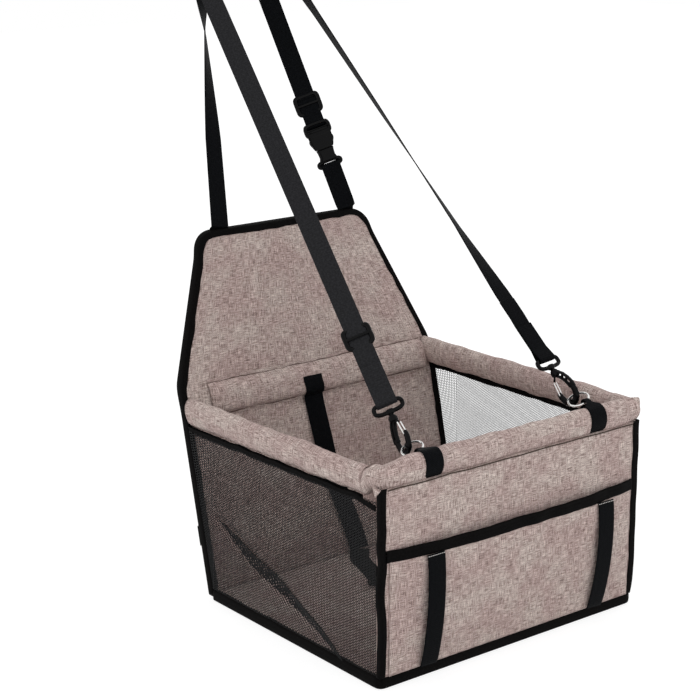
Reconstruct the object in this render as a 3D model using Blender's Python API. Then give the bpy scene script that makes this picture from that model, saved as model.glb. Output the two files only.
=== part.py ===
"""Dog car seat: a fabric basket on boards and tubes, with a backrest, hung from the car seat's headrest.

Metres, +Z up. X runs across the seat, the open front faces -Y. The origin is the middle of the base's
underside, which is what the seat rests on.
"""

import math

import bmesh
import bpy
import numpy as np

for old in list(bpy.data.objects):
    bpy.data.objects.remove(old)

# Driving sizes of the basket
WIDTH = 0.400
DEPTH = 0.3238
EDGE_TAPE_HEIGHT = 0.0140
BACK_FOOT_Y = 0.1612
BACK_FOOT_Z = 0.0040
BACK_RIM_Y = 0.2134
BACK_RIM_Z = 0.2239
BACK_TOP_Y = 0.2787
BACK_TOP_Z = 0.4320
BACK_TOP_INSET = 0.0625
BACK_RIM_INSET = 0.0010
BACK_CORNER_R = 0.028
BACK_TAPER_Z = 0.2560
FRONT_SLEEVE_Z = 0.2460
FRONT_SLEEVE_HEIGHT = 0.0300
SIDE_SLEEVE_HEIGHT = 0.0320
LEFT_SLEEVE_REAR_Z = 0.2277
LEFT_SLEEVE_FRONT_Z = 0.2340
RIGHT_SLEEVE_REAR_Z = 0.2425
RIGHT_SLEEVE_FRONT_Z = 0.2450
SLEEVE_DEPTH = 0.0210
CORNER_SLACK = 0.0135

# Sheet stock and clearances
SEAT_GAP = 0.0003
FABRIC = 0.0011
FOAM = 0.0030
BOARD = 0.0030
TAPE = 0.0012
TAPE_FACE = 0.0110
MESH_CLOTH = 0.0009
WEB_WIDTH = 0.0250
WEB_THICK = 0.0015
TUBE_WALL = 0.0014

# Front pocket
POCKET_MOUTH_Z = 0.1620
POCKET_MOUTH_SAG = 0.0100
POCKET_BULGE = 0.0085
POCKET_TAPE_HEIGHT = 0.0120
POCKET_STRAP_LEFT_INSET = 0.0765
POCKET_STRAP_RIGHT_INSET = 0.0615
POCKET_STRAP_PROUD = 0.0045
STRAP_FULL_SHARE = 0.6

# Band on the inside of the backrest, and the tether sewn to it
BAND_Z = 0.2380
BAND_HEIGHT = 0.0365
BAND_DEPTH = 0.0125
BAND_LEFT_INSET = 0.0400
BAND_RIGHT_INSET = 0.0100
BAND_TUBE_R = 0.0044
TETHER_MIDDLE_X = 0.0090
TETHER_FLOOR_X = 0.0330
TETHER_BEND_X = 0.0120
TETHER_END_X = -0.0180
TETHER_TOP_Z = 0.2440
TETHER_END_Y = 0.0600
BELT_LOOP_Z = 0.0756
BELT_LOOP_INSET = 0.0015
BELT_LOOP_PROUD = 0.0090

# Straps up to the headrest
HEADREST_Z = 0.7995
HEADREST_HALF_X = 0.1300
HEADREST_HALF_Y = 0.0600
HEADREST_FRONT_Y = 0.4055
HEADREST_SQUARENESS = 3.0
FRONT_STRAP_TOP_X = 0.0595
BACK_STRAP_TOP_X = 0.0350
STRAP_FOOT = 0.0030
BACK_STRAP_LEFT_INSET = 0.0395
BACK_STRAP_RIGHT_INSET = 0.0335
FRONT_STRAP_TWIST = {
    -1: ((0.0, -38.0), (0.60, -38.0), (0.86, -20.0), (1.0, 0.0)),
    1: ((0.0, 0.0), (0.35, 24.0), (0.56, 49.0), (0.80, 68.0), (1.0, 180.0)),
}
BACK_STRAP_TWIST = {
    -1: ((0.0, 0.0), (0.30, 8.0), (0.65, 54.0), (0.72, 77.0), (1.0, 180.0)),
    1: ((0.0, 0.0), (0.08, -36.0), (0.80, -36.0), (1.0, 0.0)),
}

# Rings and swivel hooks at the front
RING_LEFT_INSET = 0.0765
RING_RIGHT_INSET = 0.0697
RING_LEFT_BACK = 0.0505
RING_RIGHT_BACK = 0.0471
RING_LEFT_Z = 0.2554
RING_RIGHT_Z = 0.2644
HOOK_REACH = 0.0500
RING_R = 0.0125
RING_WIRE_R = 0.0014
RING_TAB_WIDTH = 0.0090
HOOK_BAR_R = 0.0033
HOOK_SHOULDER = 0.0330
BARREL_R = 0.0042
BARREL_LENGTH = 0.0060
STEM_R = 0.0022
EYE_HALF_X = 0.0170
EYE_HALF_HEIGHT = 0.0062
EYE_BAR_R = 0.0021
EYE_SQUARE_SHARE = 0.5
GATE_WIRE_R = 0.0008
GATE_SPREAD = 0.0022
FRONT_SLIDER_REACH = 0.0925
SEWN_END = 0.0560
FOLD_DRAWN_SHARE = 6

# Strap adjusters and the side-release buckle
SLIDER_WIDTH = 0.0340
SLIDER_LENGTH = 0.0270
SLIDER_BAR = 0.0042
SLIDER_THICK = 0.0024
BUCKLE_START = 0.0580
BUCKLE_SPLIT = 0.0860
BUCKLE_END = 0.1210
BUCKLE_WIDTH = 0.0360
BUCKLE_THICK = 0.0110
BUCKLE_WALL = 0.0022
BACK_SLIDER_REACH = 0.1455

# Mesh detail
SECTION_SIDES = 24
ROUND_SIDES = 12
STRAP_STEPS = 14
CREASE_DEPTH = 0.0045
MESH_BOW = 0.0040
FLAT_LIMIT = 0.00001

# Places that follow the basket's width and depth
BACK_TOP_HALF = WIDTH / 2 - BACK_TOP_INSET
BACK_RIM_HALF = WIDTH / 2 - BACK_RIM_INSET
BELT_LOOP_HALF = WIDTH / 2 - BELT_LOOP_INSET
BAND_START_X = -WIDTH / 2 + BAND_LEFT_INSET
BAND_END_X = WIDTH / 2 - BAND_RIGHT_INSET
POCKET_STRAP_X = {-1: -WIDTH / 2 + POCKET_STRAP_LEFT_INSET, 1: WIDTH / 2 - POCKET_STRAP_RIGHT_INSET}
BACK_STRAP_X = {-1: -BACK_TOP_HALF + BACK_STRAP_LEFT_INSET, 1: BACK_TOP_HALF - BACK_STRAP_RIGHT_INSET}
SLEEVE_REAR_Z = {-1: LEFT_SLEEVE_REAR_Z, 1: RIGHT_SLEEVE_REAR_Z}
SLEEVE_FRONT_Z = {-1: LEFT_SLEEVE_FRONT_Z, 1: RIGHT_SLEEVE_FRONT_Z}
RING_X = {-1: -WIDTH / 2 + RING_LEFT_INSET, 1: WIDTH / 2 - RING_RIGHT_INSET}
RING_Y = {-1: -DEPTH / 2 + RING_LEFT_BACK, 1: -DEPTH / 2 + RING_RIGHT_BACK}
RING_Z = {-1: RING_LEFT_Z, 1: RING_RIGHT_Z}

COLOURS = {
    "linen_cloth": ((0.36, 0.27, 0.235), 0.9, 0.0),
    "black_tape": ((0.012, 0.012, 0.013), 0.8, 0.0),
    "black_webbing": ((0.016, 0.017, 0.019), 0.65, 0.0),
    "black_mesh": ((0.03, 0.03, 0.03), 0.85, 0.0),
    "board": ((0.10, 0.10, 0.10), 0.6, 0.0),
    "foam": ((0.72, 0.70, 0.64), 0.95, 0.0),
    "tube": ((0.62, 0.62, 0.60), 0.45, 0.0),
    "black_plastic": ((0.012, 0.012, 0.013), 0.35, 0.0),
    "steel": ((0.70, 0.70, 0.70), 0.25, 1.0),
}

X_AXIS = np.array([1.0, 0.0, 0.0])
Y_AXIS = np.array([0.0, 1.0, 0.0])
Z_AXIS = np.array([0.0, 0.0, 1.0])


def unit(vector):
    """The vector at length one."""
    vector = np.asarray(vector, float)
    return vector / np.linalg.norm(vector)


def back_y(z):
    """How far back the inner face of the backrest lies at height z."""
    if z <= BACK_RIM_Z:
        return BACK_FOOT_Y + (z - BACK_FOOT_Z) * (BACK_RIM_Y - BACK_FOOT_Y) / (BACK_RIM_Z - BACK_FOOT_Z)
    return BACK_RIM_Y + (z - BACK_RIM_Z) * (BACK_TOP_Y - BACK_RIM_Y) / (BACK_TOP_Z - BACK_RIM_Z)


def back_slope(z):
    """Unit vector up the backrest at height z."""
    if z <= BACK_RIM_Z:
        return unit([0, BACK_RIM_Y - BACK_FOOT_Y, BACK_RIM_Z - BACK_FOOT_Z])
    return unit([0, BACK_TOP_Y - BACK_RIM_Y, BACK_TOP_Z - BACK_RIM_Z])


def smooth_path(points, steps):
    """A curve through the points, by Catmull-Rom, with the given steps to each span."""
    points = np.asarray(points, float)
    ends = np.vstack([2 * points[0] - points[1], points, 2 * points[-1] - points[-2]])
    found = []
    for i in range(len(points) - 1):
        a, b, c, d = ends[i : i + 4]
        for t in np.arange(steps) / steps:
            found.append(
                0.5 * (2 * b + (c - a) * t + (2 * a - 5 * b + 4 * c - d) * t * t + (3 * b - a - 3 * c + d) * t**3)
            )
    found.append(points[-1])
    return np.array(found)


def circle(radius, sides):
    """Offsets round a circle."""
    return ellipse(radius, radius, sides)


def ellipse(half_a, half_b, sides):
    """Offsets round an ellipse."""
    turns = 2 * math.pi * np.arange(sides) / sides
    return np.column_stack([half_a * np.cos(turns), half_b * np.sin(turns)])


def rectangle(width, height):
    """Offsets of a rectangle's corners."""
    return np.array([[-1, -1], [1, -1], [1, 1], [-1, 1]]) * [width / 2, height / 2]


def rings_of(points, sides, ups, outline):
    """The outline carried to each point, measured along its side and up directions."""
    return [p + outline[:, :1] * s + outline[:, 1:] * u for p, s, u in zip(points, sides, ups)]


def frames_along(points, side, closed=False):
    """Side and up directions along a path whose width keeps near the given side direction."""
    points = np.asarray(points, float)
    if closed:
        tangents = np.roll(points, -1, axis=0) - np.roll(points, 1, axis=0)
    else:
        tangents = np.gradient(points, axis=0)
    sides = []
    ups = []
    for tangent in tangents:
        along = unit(tangent)
        across = unit(side - along * np.dot(side, along))
        sides.append(across)
        ups.append(np.cross(along, across))
    return sides, ups


def material(name):
    """The finish of that name, made once."""
    if name in bpy.data.materials:
        return bpy.data.materials[name]
    colour, roughness, metallic = COLOURS[name]
    made = bpy.data.materials.new(name)
    made.use_nodes = True
    shader = made.node_tree.nodes["Principled BSDF"]
    shader.inputs["Base Color"].default_value = (*colour, 1.0)
    shader.inputs["Roughness"].default_value = roughness
    shader.inputs["Metallic"].default_value = metallic
    return made


def is_warped(corners):
    """Whether a quad's fourth corner stands off the plane of the other three."""
    a, b, c, d = corners
    normal = (b - a).cross(c - a)
    return abs((d - a).dot(normal)) > FLAT_LIMIT * normal.length


def finish(name, bm, stuff, origin=(0, 0, 0), smooth=True):
    """Puts the mesh in an object of its own, with its origin at the given place and warped quads split."""
    bmesh.ops.recalc_face_normals(bm, faces=bm.faces)
    warped = [f for f in bm.faces if len(f.verts) == 4 and is_warped([v.co for v in f.verts])]
    bmesh.ops.triangulate(bm, faces=warped)
    mesh = bpy.data.meshes.new(name)
    bm.to_mesh(mesh)
    bm.free()
    origin = np.array(origin, float)
    points = np.empty(len(mesh.vertices) * 3)
    mesh.vertices.foreach_get("co", points)
    mesh.vertices.foreach_set("co", (points.reshape(-1, 3) - origin).ravel())
    if smooth:
        mesh.shade_smooth()
        mesh.set_sharp_from_angle(angle=math.radians(35))
    mesh.update()
    made = bpy.data.objects.new(name, mesh)
    made.location = origin
    made.data.materials.append(material(stuff))
    bpy.context.scene.collection.objects.link(made)
    return made


def add_loft(bm, rings, closed=False):
    """Skins a row of matching rings, with flat ends unless the row closes on itself."""
    rows = [[bm.verts.new(p) for p in ring] for ring in rings]
    count = len(rows[0])
    spans = len(rows) if closed else len(rows) - 1
    for i in range(spans):
        low, high = rows[i], rows[(i + 1) % len(rows)]
        for j in range(count):
            k = (j + 1) % count
            bm.faces.new((low[j], low[k], high[k], high[j]))
    if not closed:
        bm.faces.new(rows[0][::-1])
        bm.faces.new(rows[-1])


def loft(name, rings, stuff, closed=False, origin=(0, 0, 0), smooth=True):
    """One solid skinned over the rings."""
    bm = bmesh.new()
    add_loft(bm, rings, closed)
    return finish(name, bm, stuff, origin, smooth)


def pipe(name, outer, inner, stuff, origin=(0, 0, 0)):
    """A tube open at both ends, between matching rows of outer and inner rings."""
    bm = bmesh.new()
    skins = []
    for rings in (outer, inner):
        rows = [[bm.verts.new(p) for p in ring] for ring in rings]
        count = len(rows[0])
        for low, high in zip(rows[:-1], rows[1:]):
            for j in range(count):
                k = (j + 1) % count
                bm.faces.new((low[j], low[k], high[k], high[j]))
        skins.append(rows)
    for end in (0, -1):
        wide, narrow = skins[0][end], skins[1][end]
        for j in range(count):
            k = (j + 1) % count
            bm.faces.new((wide[j], wide[k], narrow[k], narrow[j]))
    return finish(name, bm, stuff, origin)


def join(whole, added):
    """Unites an added shape with a piece, and keeps it out of the model itself."""
    added.hide_render = True
    added.display_type = "WIRE"
    union = whole.modifiers.new(added.name, "BOOLEAN")
    union.operation = "UNION"
    union.object = added


def band(name, points, sides, ups, stuff, width=WEB_WIDTH, thick=WEB_THICK, closed=False, origin=(0, 0, 0)):
    """A flat webbing or tape along a path."""
    return loft(name, rings_of(points, sides, ups, rectangle(width, thick)), stuff, closed, origin)


def slab(name, outline, low, high, stuff, cuts=(), bend=None, origin=(0, 0, 0)):
    """A sheet cut to the outline in X and Z, between two depths in Y, then bent to follow a face."""
    bm = bmesh.new()
    add_loft(bm, [[(x, low, z) for x, z in outline], [(x, high, z) for x, z in outline]])
    for z in cuts:
        geometry = bm.verts[:] + bm.edges[:] + bm.faces[:]
        bmesh.ops.bisect_plane(bm, geom=geometry, plane_co=(0, 0, z), plane_no=(0, 0, 1), dist=SEAT_GAP / 100)
    if bend:
        for vert in bm.verts:
            vert.co.y += bend(vert.co.z)
    return finish(name, bm, stuff, origin, smooth=False)


def sheet(name, place, across, along, thick, stuff, origin=(0, 0, 0)):
    """A cloth panel: a grid placed by a function of two shares, given its thickness on one side."""
    bm = bmesh.new()
    outer = [[bm.verts.new(place(i / across, j / along)) for i in range(across + 1)] for j in range(along + 1)]
    inner = [[bm.verts.new(place(i / across, j / along, thick)) for i in range(across + 1)] for j in range(along + 1)]
    for rows in (outer, inner):
        for low, high in zip(rows[:-1], rows[1:]):
            for i in range(across):
                bm.faces.new((low[i], low[i + 1], high[i + 1], high[i]))
    rim_a = outer[0] + [row[-1] for row in outer[1:]] + outer[-1][-2::-1] + [row[0] for row in outer[-2:0:-1]]
    rim_b = inner[0] + [row[-1] for row in inner[1:]] + inner[-1][-2::-1] + [row[0] for row in inner[-2:0:-1]]
    for i in range(len(rim_a)):
        k = (i + 1) % len(rim_a)
        bm.faces.new((rim_a[i], rim_a[k], rim_b[k], rim_b[i]))
    return finish(name, bm, stuff, origin)


def arc(centre, radius, start, end, steps):
    """Points round part of a circle, angles in degrees."""
    turns = np.radians(np.linspace(start, end, steps + 1))
    return [(centre[0] + radius * math.cos(t), centre[1] + radius * math.sin(t)) for t in turns]


def back_outline(inset, foot):
    """The backrest's outline in X and Z, drawn in by an inset, from its foot up to its rounded top."""
    half = BACK_RIM_HALF - inset
    top_half = BACK_TOP_HALF - inset
    top = BACK_TOP_Z - inset
    centre_z = top - BACK_CORNER_R
    lean = math.degrees(math.atan2(half - top_half, centre_z - BACK_TAPER_Z))
    right = arc((top_half - BACK_CORNER_R, centre_z), BACK_CORNER_R, lean, 90, 6)
    left = [(-x, z) for x, z in reversed(right)]
    return [(-half, foot), (half, foot), (half, BACK_TAPER_Z), *right, *left, (-half, BACK_TAPER_Z)]


def hull(points):
    """The convex outline round a set of points in a plane, anticlockwise."""
    points = sorted(set(map(tuple, np.round(points, 7))))
    chains = []
    for order in (points, points[::-1]):
        chain = []
        for p in order:
            while len(chain) > 1 and np.cross(np.subtract(chain[-1], chain[-2]), np.subtract(p, chain[-2])) <= 0:
                chain.pop()
            chain.append(p)
        chains.append(chain[:-1])
    return np.array(chains[0] + chains[1])


# Backrest: lining, foam, board and cover, one behind the other
LINING_BACK = FABRIC
FOAM_FRONT = LINING_BACK + SEAT_GAP
BOARD_FRONT = FOAM_FRONT + FOAM + SEAT_GAP
COVER_FRONT = BOARD_FRONT + BOARD + SEAT_GAP
COVER_BACK = COVER_FRONT + FABRIC
BEND_CUTS = (BACK_RIM_Z,)
EDGE_INSET = TAPE + SEAT_GAP

slab("back_lining", back_outline(EDGE_INSET, BACK_FOOT_Z), 0, LINING_BACK, "linen_cloth", BEND_CUTS, back_y)
BOARD_INSET = TAPE_FACE + EDGE_INSET
slab("back_foam", back_outline(BOARD_INSET, BACK_FOOT_Z), FOAM_FRONT, FOAM_FRONT + FOAM, "foam", BEND_CUTS, back_y)
slab("back_board", back_outline(BOARD_INSET, BACK_FOOT_Z), BOARD_FRONT, BOARD_FRONT + BOARD, "board", BEND_CUTS, back_y)
slab("back_cover", back_outline(EDGE_INSET, BACK_FOOT_Z), COVER_FRONT, COVER_BACK, "linen_cloth", BEND_CUTS, back_y)


def edge_path(inset):
    """The backrest's edge, from the left foot over the top to the right foot."""
    outline = back_outline(inset, EDGE_TAPE_HEIGHT + 2 * SEAT_GAP)
    flat = [outline[1]] + [(outline[1][0], BACK_RIM_Z)] + outline[2:-1] + [outline[-1]]
    flat = flat + [(outline[0][0], BACK_RIM_Z), outline[0]]
    return np.array([(x, 0, z) for x, z in flat[::-1]])


def u_tape(reach, inside, wall):
    """A folded tape's outline: reach along the face, inside from leg to leg, measured from its fold."""
    low = -wall
    high = inside + wall
    return np.array(
        [(-reach, low), (wall, low), (wall, high), (-reach, high), (-reach, inside), (0, inside), (0, 0), (-reach, 0)]
    )


def back_tape():
    """The black tape folded over the backrest's edge."""
    path = edge_path(EDGE_INSET - SEAT_GAP)
    tangents = np.gradient(path, axis=0)
    outward = []
    for tangent in tangents:
        flat = unit([tangent[0], 0, tangent[2]])
        outward.append(np.array([-flat[2], 0, flat[0]]))
    profile = u_tape(TAPE_FACE, COVER_BACK + 2 * SEAT_GAP, TAPE)
    profile[:, 1] -= SEAT_GAP
    rings = rings_of(path, outward, [Y_AXIS] * len(path), profile)
    rings = [[(x, y + back_y(z), z) for x, y, z in ring] for ring in rings]
    return loft("back_tape", rings, "black_tape")


back_tape()

# Base: underside, board, foam and lining, with a tape round the front and sides
BASE_HALF_X = WIDTH / 2 - TAPE - SEAT_GAP
BASE_FRONT_Y = -DEPTH / 2 + TAPE + SEAT_GAP
BASE_REAR_Y = BACK_FOOT_Y - 2 * SEAT_GAP
BASE_CORNER_R = 0.0120


def base_outline(inset, rear):
    """The base seen from above: rounded at the front, square at the rear."""
    half = BASE_HALF_X - inset
    front = BASE_FRONT_Y + inset
    right = arc((half - BASE_CORNER_R, front + BASE_CORNER_R), BASE_CORNER_R, 0, -90, 4)
    left = arc((-half + BASE_CORNER_R, front + BASE_CORNER_R), BASE_CORNER_R, -90, -180, 4)
    return [(half, rear), *right, *left, (-half, rear)]


def base_layer(name, inset, low, high, stuff):
    """One flat layer of the base."""
    outline = base_outline(inset, BASE_REAR_Y)
    rings = [[(x, y, z) for x, y in outline] for z in (low, high)]
    return loft(name, rings, stuff, smooth=False)


BASE_COVER_TOP = TAPE + SEAT_GAP + FABRIC
base_layer("base_underside", TAPE_FACE + SEAT_GAP, 0, TAPE + SEAT_GAP + FABRIC, "linen_cloth")
BASE_BOARD_LOW = BASE_COVER_TOP + SEAT_GAP
base_layer("base_board", EDGE_INSET, BASE_BOARD_LOW, BASE_BOARD_LOW + BOARD, "board")
BASE_FOAM_LOW = BASE_BOARD_LOW + BOARD + SEAT_GAP
base_layer("base_foam", EDGE_INSET, BASE_FOAM_LOW, BASE_FOAM_LOW + FOAM, "foam")
BASE_LINING_LOW = BASE_FOAM_LOW + FOAM + SEAT_GAP
BASE_TOP_Z = BASE_LINING_LOW + FABRIC
base_layer("base_lining", EDGE_INSET, BASE_LINING_LOW, BASE_TOP_Z, "linen_cloth")


def base_tape():
    """The tape folded round the base's front and side edges, flush with the underside."""
    outline = base_outline(0, BASE_REAR_Y)
    path = np.array([(x, y, TAPE) for x, y in outline])
    tangents = np.gradient(path, axis=0)
    outward = [unit([-t[1], t[0], 0]) for t in tangents]
    profile = u_tape(TAPE_FACE, EDGE_TAPE_HEIGHT - 2 * TAPE, TAPE)
    return loft("base_tape", rings_of(path, outward, [Z_AXIS] * len(path), profile), "black_tape")


base_tape()

# Front panel with its own board, the sleeve above it and the tube in the sleeve
FRONT_FACE_Y = -DEPTH / 2
FRONT_FOOT_Z = EDGE_TAPE_HEIGHT + SEAT_GAP
FRONT_SLEEVE_Y = FRONT_FACE_Y + SLEEVE_DEPTH / 2
FRONT_TOP_Z = FRONT_SLEEVE_Z - FRONT_SLEEVE_HEIGHT / 2 - 3 * SEAT_GAP
PANEL_HALF = WIDTH / 2 - EDGE_INSET
FRONT_BOARD_LOW = FABRIC + SEAT_GAP
FRONT_LINING_LOW = FRONT_BOARD_LOW + BOARD + SEAT_GAP
FRONT_THICK = FRONT_LINING_LOW + FABRIC


def front_layer(name, inset, low, high, stuff):
    """One flat layer of the front panel, measured in from its outer face."""
    half = PANEL_HALF - inset
    outline = [(-half, FRONT_FOOT_Z), (half, FRONT_FOOT_Z), (half, FRONT_TOP_Z), (-half, FRONT_TOP_Z)]
    return slab(name, outline, FRONT_FACE_Y + low, FRONT_FACE_Y + high, stuff)


front_layer("front_panel", 0, 0, FABRIC, "linen_cloth")
front_layer("front_board", TAPE_FACE, FRONT_BOARD_LOW, FRONT_BOARD_LOW + BOARD, "board")
front_layer("front_lining", 0, FRONT_LINING_LOW, FRONT_THICK, "linen_cloth")


def front_edge_tape(side, name):
    """The upright tape folded over one side edge of the front panel."""
    profile = u_tape(TAPE_FACE, FRONT_THICK + 2 * SEAT_GAP, TAPE)
    profile[:, 1] -= SEAT_GAP
    x = side * (WIDTH / 2 - TAPE)
    path = [np.array([x, FRONT_FACE_Y, z]) for z in (FRONT_FOOT_Z, FRONT_TOP_Z)]
    return loft(name, rings_of(path, [side * X_AXIS] * 2, [Y_AXIS] * 2, profile), "black_tape")


front_edge_tape(-1, "front_edge_tape_left")
front_edge_tape(1, "front_edge_tape_right")


def sleeve(name, start, end, height, start_up, end_up):
    """A cloth sleeve with an oval section, slanted at each end by its up direction."""
    points = [start + (end - start) * t for t in np.linspace(0, 1, 7)]
    ups = [start_up + (end_up - start_up) * t for t in np.linspace(0, 1, 7)]
    along = unit(end - start)
    across = unit(np.cross(along, Z_AXIS))
    half = SLEEVE_DEPTH / 2
    outer = rings_of(points, [across] * 7, ups, ellipse(half, height / 2, SECTION_SIDES))
    inner = rings_of(points, [across] * 7, ups, ellipse(half - FABRIC, height / 2 - FABRIC, SECTION_SIDES))
    return pipe(name, outer, inner, "linen_cloth")


TUBE_R = SLEEVE_DEPTH / 2 - FABRIC - SEAT_GAP


def tube(name, start, end, radius, stuff):
    """A straight plastic tube, open at both ends."""
    along = unit(end - start)
    across = unit(np.cross(along, Z_AXIS))
    up = np.cross(across, along)
    ends = [start, end]
    outer = rings_of(ends, [across] * 2, [up] * 2, circle(radius, SECTION_SIDES))
    inner = rings_of(ends, [across] * 2, [up] * 2, circle(radius - TUBE_WALL, SECTION_SIDES))
    return pipe(name, outer, inner, stuff)


SLEEVE_HALF_X = WIDTH / 2
front_left = np.array([-SLEEVE_HALF_X, FRONT_SLEEVE_Y, FRONT_SLEEVE_Z])
front_right = np.array([SLEEVE_HALF_X, FRONT_SLEEVE_Y, FRONT_SLEEVE_Z])
sleeve("front_sleeve", front_left, front_right, FRONT_SLEEVE_HEIGHT, Z_AXIS, Z_AXIS)
TUBE_END = 0.0060
tube("front_tube", front_left + TUBE_END * X_AXIS, front_right - TUBE_END * X_AXIS, TUBE_R, "tube")

# Side rails, hinged at the top of their rear ends
SIDE_X = WIDTH / 2 - SLEEVE_DEPTH / 2
RAIL_FRONT_Y = FRONT_FACE_Y + SLEEVE_DEPTH + CORNER_SLACK
RAIL_REAR_Y = {side: back_y(SLEEVE_REAR_Z[side]) - SEAT_GAP - TAPE - SEAT_GAP for side in (-1, 1)}


def side_rail(side, word):
    """One side sleeve with its tube."""
    rear = np.array([side * SIDE_X, RAIL_REAR_Y[side], SLEEVE_REAR_Z[side]])
    front = np.array([side * SIDE_X, RAIL_FRONT_Y, SLEEVE_FRONT_Z[side]])
    rear_slope = back_slope(BACK_TOP_Z)
    sleeve(f"{word}_sleeve", front, rear, SIDE_SLEEVE_HEIGHT, Z_AXIS, rear_slope / rear_slope[2])
    along = unit(rear - front)
    tube(f"{word}_tube", front + TUBE_END * along, rear - TUBE_END * along, TUBE_R, "tube")


side_rail(-1, "left")
side_rail(1, "right")

# Mesh sides
MESH_FOOT_Z = EDGE_TAPE_HEIGHT + SEAT_GAP
MESH_FRONT_Y = FRONT_FACE_Y + FRONT_THICK + TAPE + 2 * SEAT_GAP
MESH_GRID = (18, 14)
CREASE_START = (0.1525, 0.1078)
CREASE_END = (-0.1009, 0.0095)
CREASE_WIDTH = 0.0160
CREASE_FADE_SHARE = 5


def mesh_side(side, name, creased):
    """A side of fine mesh between the base, the backrest, the rail and the front edge."""
    outer_x = WIDTH / 2 - TAPE - SEAT_GAP

    def place(u, v, inward=0):
        low = MESH_FOOT_Z
        y_rear = back_y(low) - 2 * SEAT_GAP - TAPE
        y_low = MESH_FRONT_Y + (y_rear - MESH_FRONT_Y) * u
        high_front = SLEEVE_FRONT_Z[side] - SIDE_SLEEVE_HEIGHT / 2 - SEAT_GAP
        high_rear = SLEEVE_REAR_Z[side] - SIDE_SLEEVE_HEIGHT / 2 - SEAT_GAP
        high = high_front + (high_rear - high_front) * u
        y_top = MESH_FRONT_Y + (back_y(high_rear) - 2 * SEAT_GAP - TAPE - MESH_FRONT_Y) * u
        z = low + (high - low) * v
        y = y_low + (y_top - y_low) * v
        bow = MESH_BOW * math.sin(math.pi * u) * math.sin(math.pi * v)
        if creased:
            start, end = np.array(CREASE_START), np.array(CREASE_END)
            line = end - start
            share = np.clip(np.dot([y - start[0], z - start[1]], line) / np.dot(line, line), 0, 1)
            away = np.linalg.norm(np.array([y, z]) - start - share * line)
            edge = min(1, CREASE_FADE_SHARE * min(u, 1 - u, v, 1 - v))
            bow += CREASE_DEPTH * edge * math.exp(-((away / CREASE_WIDTH) ** 2))
        return (side * (outer_x - inward - bow), y, z)

    return sheet(name, place, *MESH_GRID, MESH_CLOTH, "black_mesh")


mesh_side(-1, "left_mesh", True)
mesh_side(1, "right_mesh", False)

# Front pocket: a bulging panel, its mouth tape and the two webbing straps down its face
POCKET_HALF = WIDTH / 2 - TAPE_FACE - 2 * SEAT_GAP - TAPE
POCKET_GRID = (20, 8)
POCKET_SQUARENESS = 4
POCKET_FILL_SHARE = 0.8


def pocket_depth(x, z):
    """How far the pocket stands off the front panel."""
    across = max(0.0, 1 - (x / POCKET_HALF) ** POCKET_SQUARENESS)
    up = np.clip((z - FRONT_FOOT_Z) / (POCKET_MOUTH_Z - FRONT_FOOT_Z), 0, 1)
    return SEAT_GAP + POCKET_BULGE * across * math.sin(0.5 * math.pi * up) ** POCKET_FILL_SHARE


def mouth_z(x):
    """The height of the pocket's sagging mouth."""
    return POCKET_MOUTH_Z - POCKET_MOUTH_SAG * (1 - (x / POCKET_HALF) ** 2)


def pocket_place(u, v, inward=0):
    """A point of the pocket panel."""
    x = POCKET_HALF * (2 * u - 1)
    z = FRONT_FOOT_Z + (mouth_z(x) - FRONT_FOOT_Z) * v
    return (x, FRONT_FACE_Y - pocket_depth(x, z) - FABRIC + inward, z)


sheet("front_pocket", pocket_place, *POCKET_GRID, FABRIC, "linen_cloth")


def pocket_tape():
    """The tape along the pocket's mouth, on its outer face."""
    xs = np.linspace(-POCKET_HALF, POCKET_HALF, POCKET_GRID[0] + 1)
    centre = [mouth_z(x) - POCKET_TAPE_HEIGHT / 2 for x in xs]
    out = FABRIC + SEAT_GAP + TAPE / 2
    points = np.array([(x, FRONT_FACE_Y - pocket_depth(x, z) - out, z) for x, z in zip(xs, centre)])
    rings = []
    for point, x in zip(points, xs):
        low_z = point[2] - POCKET_TAPE_HEIGHT / 2
        high_z = point[2] + POCKET_TAPE_HEIGHT / 2
        low_y = FRONT_FACE_Y - pocket_depth(x, low_z) - FABRIC - SEAT_GAP
        high_y = FRONT_FACE_Y - pocket_depth(x, high_z) - FABRIC - SEAT_GAP
        rings.append([(x, low_y, low_z), (x, high_y, high_z), (x, high_y - TAPE, high_z), (x, low_y - TAPE, low_z)])
    return loft("pocket_tape", rings, "black_tape")


pocket_tape()


def pocket_strap(side, name):
    """A loose webbing down the pocket's face, sewn at the mouth tape and at the base."""
    x = POCKET_STRAP_X[side]
    mouth = min(mouth_z(x - WEB_WIDTH / 2), mouth_z(x + WEB_WIDTH / 2))
    top = mouth - POCKET_TAPE_HEIGHT - SEAT_GAP
    points = []
    for share in np.linspace(0, 1, 11):
        z = FRONT_FOOT_Z + (top - FRONT_FOOT_Z) * share
        edge = max(pocket_depth(x - WEB_WIDTH / 2, z), pocket_depth(x + WEB_WIDTH / 2, z))
        proud = POCKET_STRAP_PROUD * math.sin(math.pi * share) ** STRAP_FULL_SHARE
        y = FRONT_FACE_Y - edge - FABRIC - 2 * SEAT_GAP - WEB_THICK / 2 - proud
        points.append((x, y, z))
    return band(name, points, *frames_along(points, X_AXIS), "black_webbing")


pocket_strap(-1, "pocket_strap_left")
pocket_strap(1, "pocket_strap_right")

# Band across the inside of the backrest, with its tube
BAND_SLOPE = back_slope(BAND_Z)
BAND_NORMAL = np.array([0, -BAND_SLOPE[2], BAND_SLOPE[1]])


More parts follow.
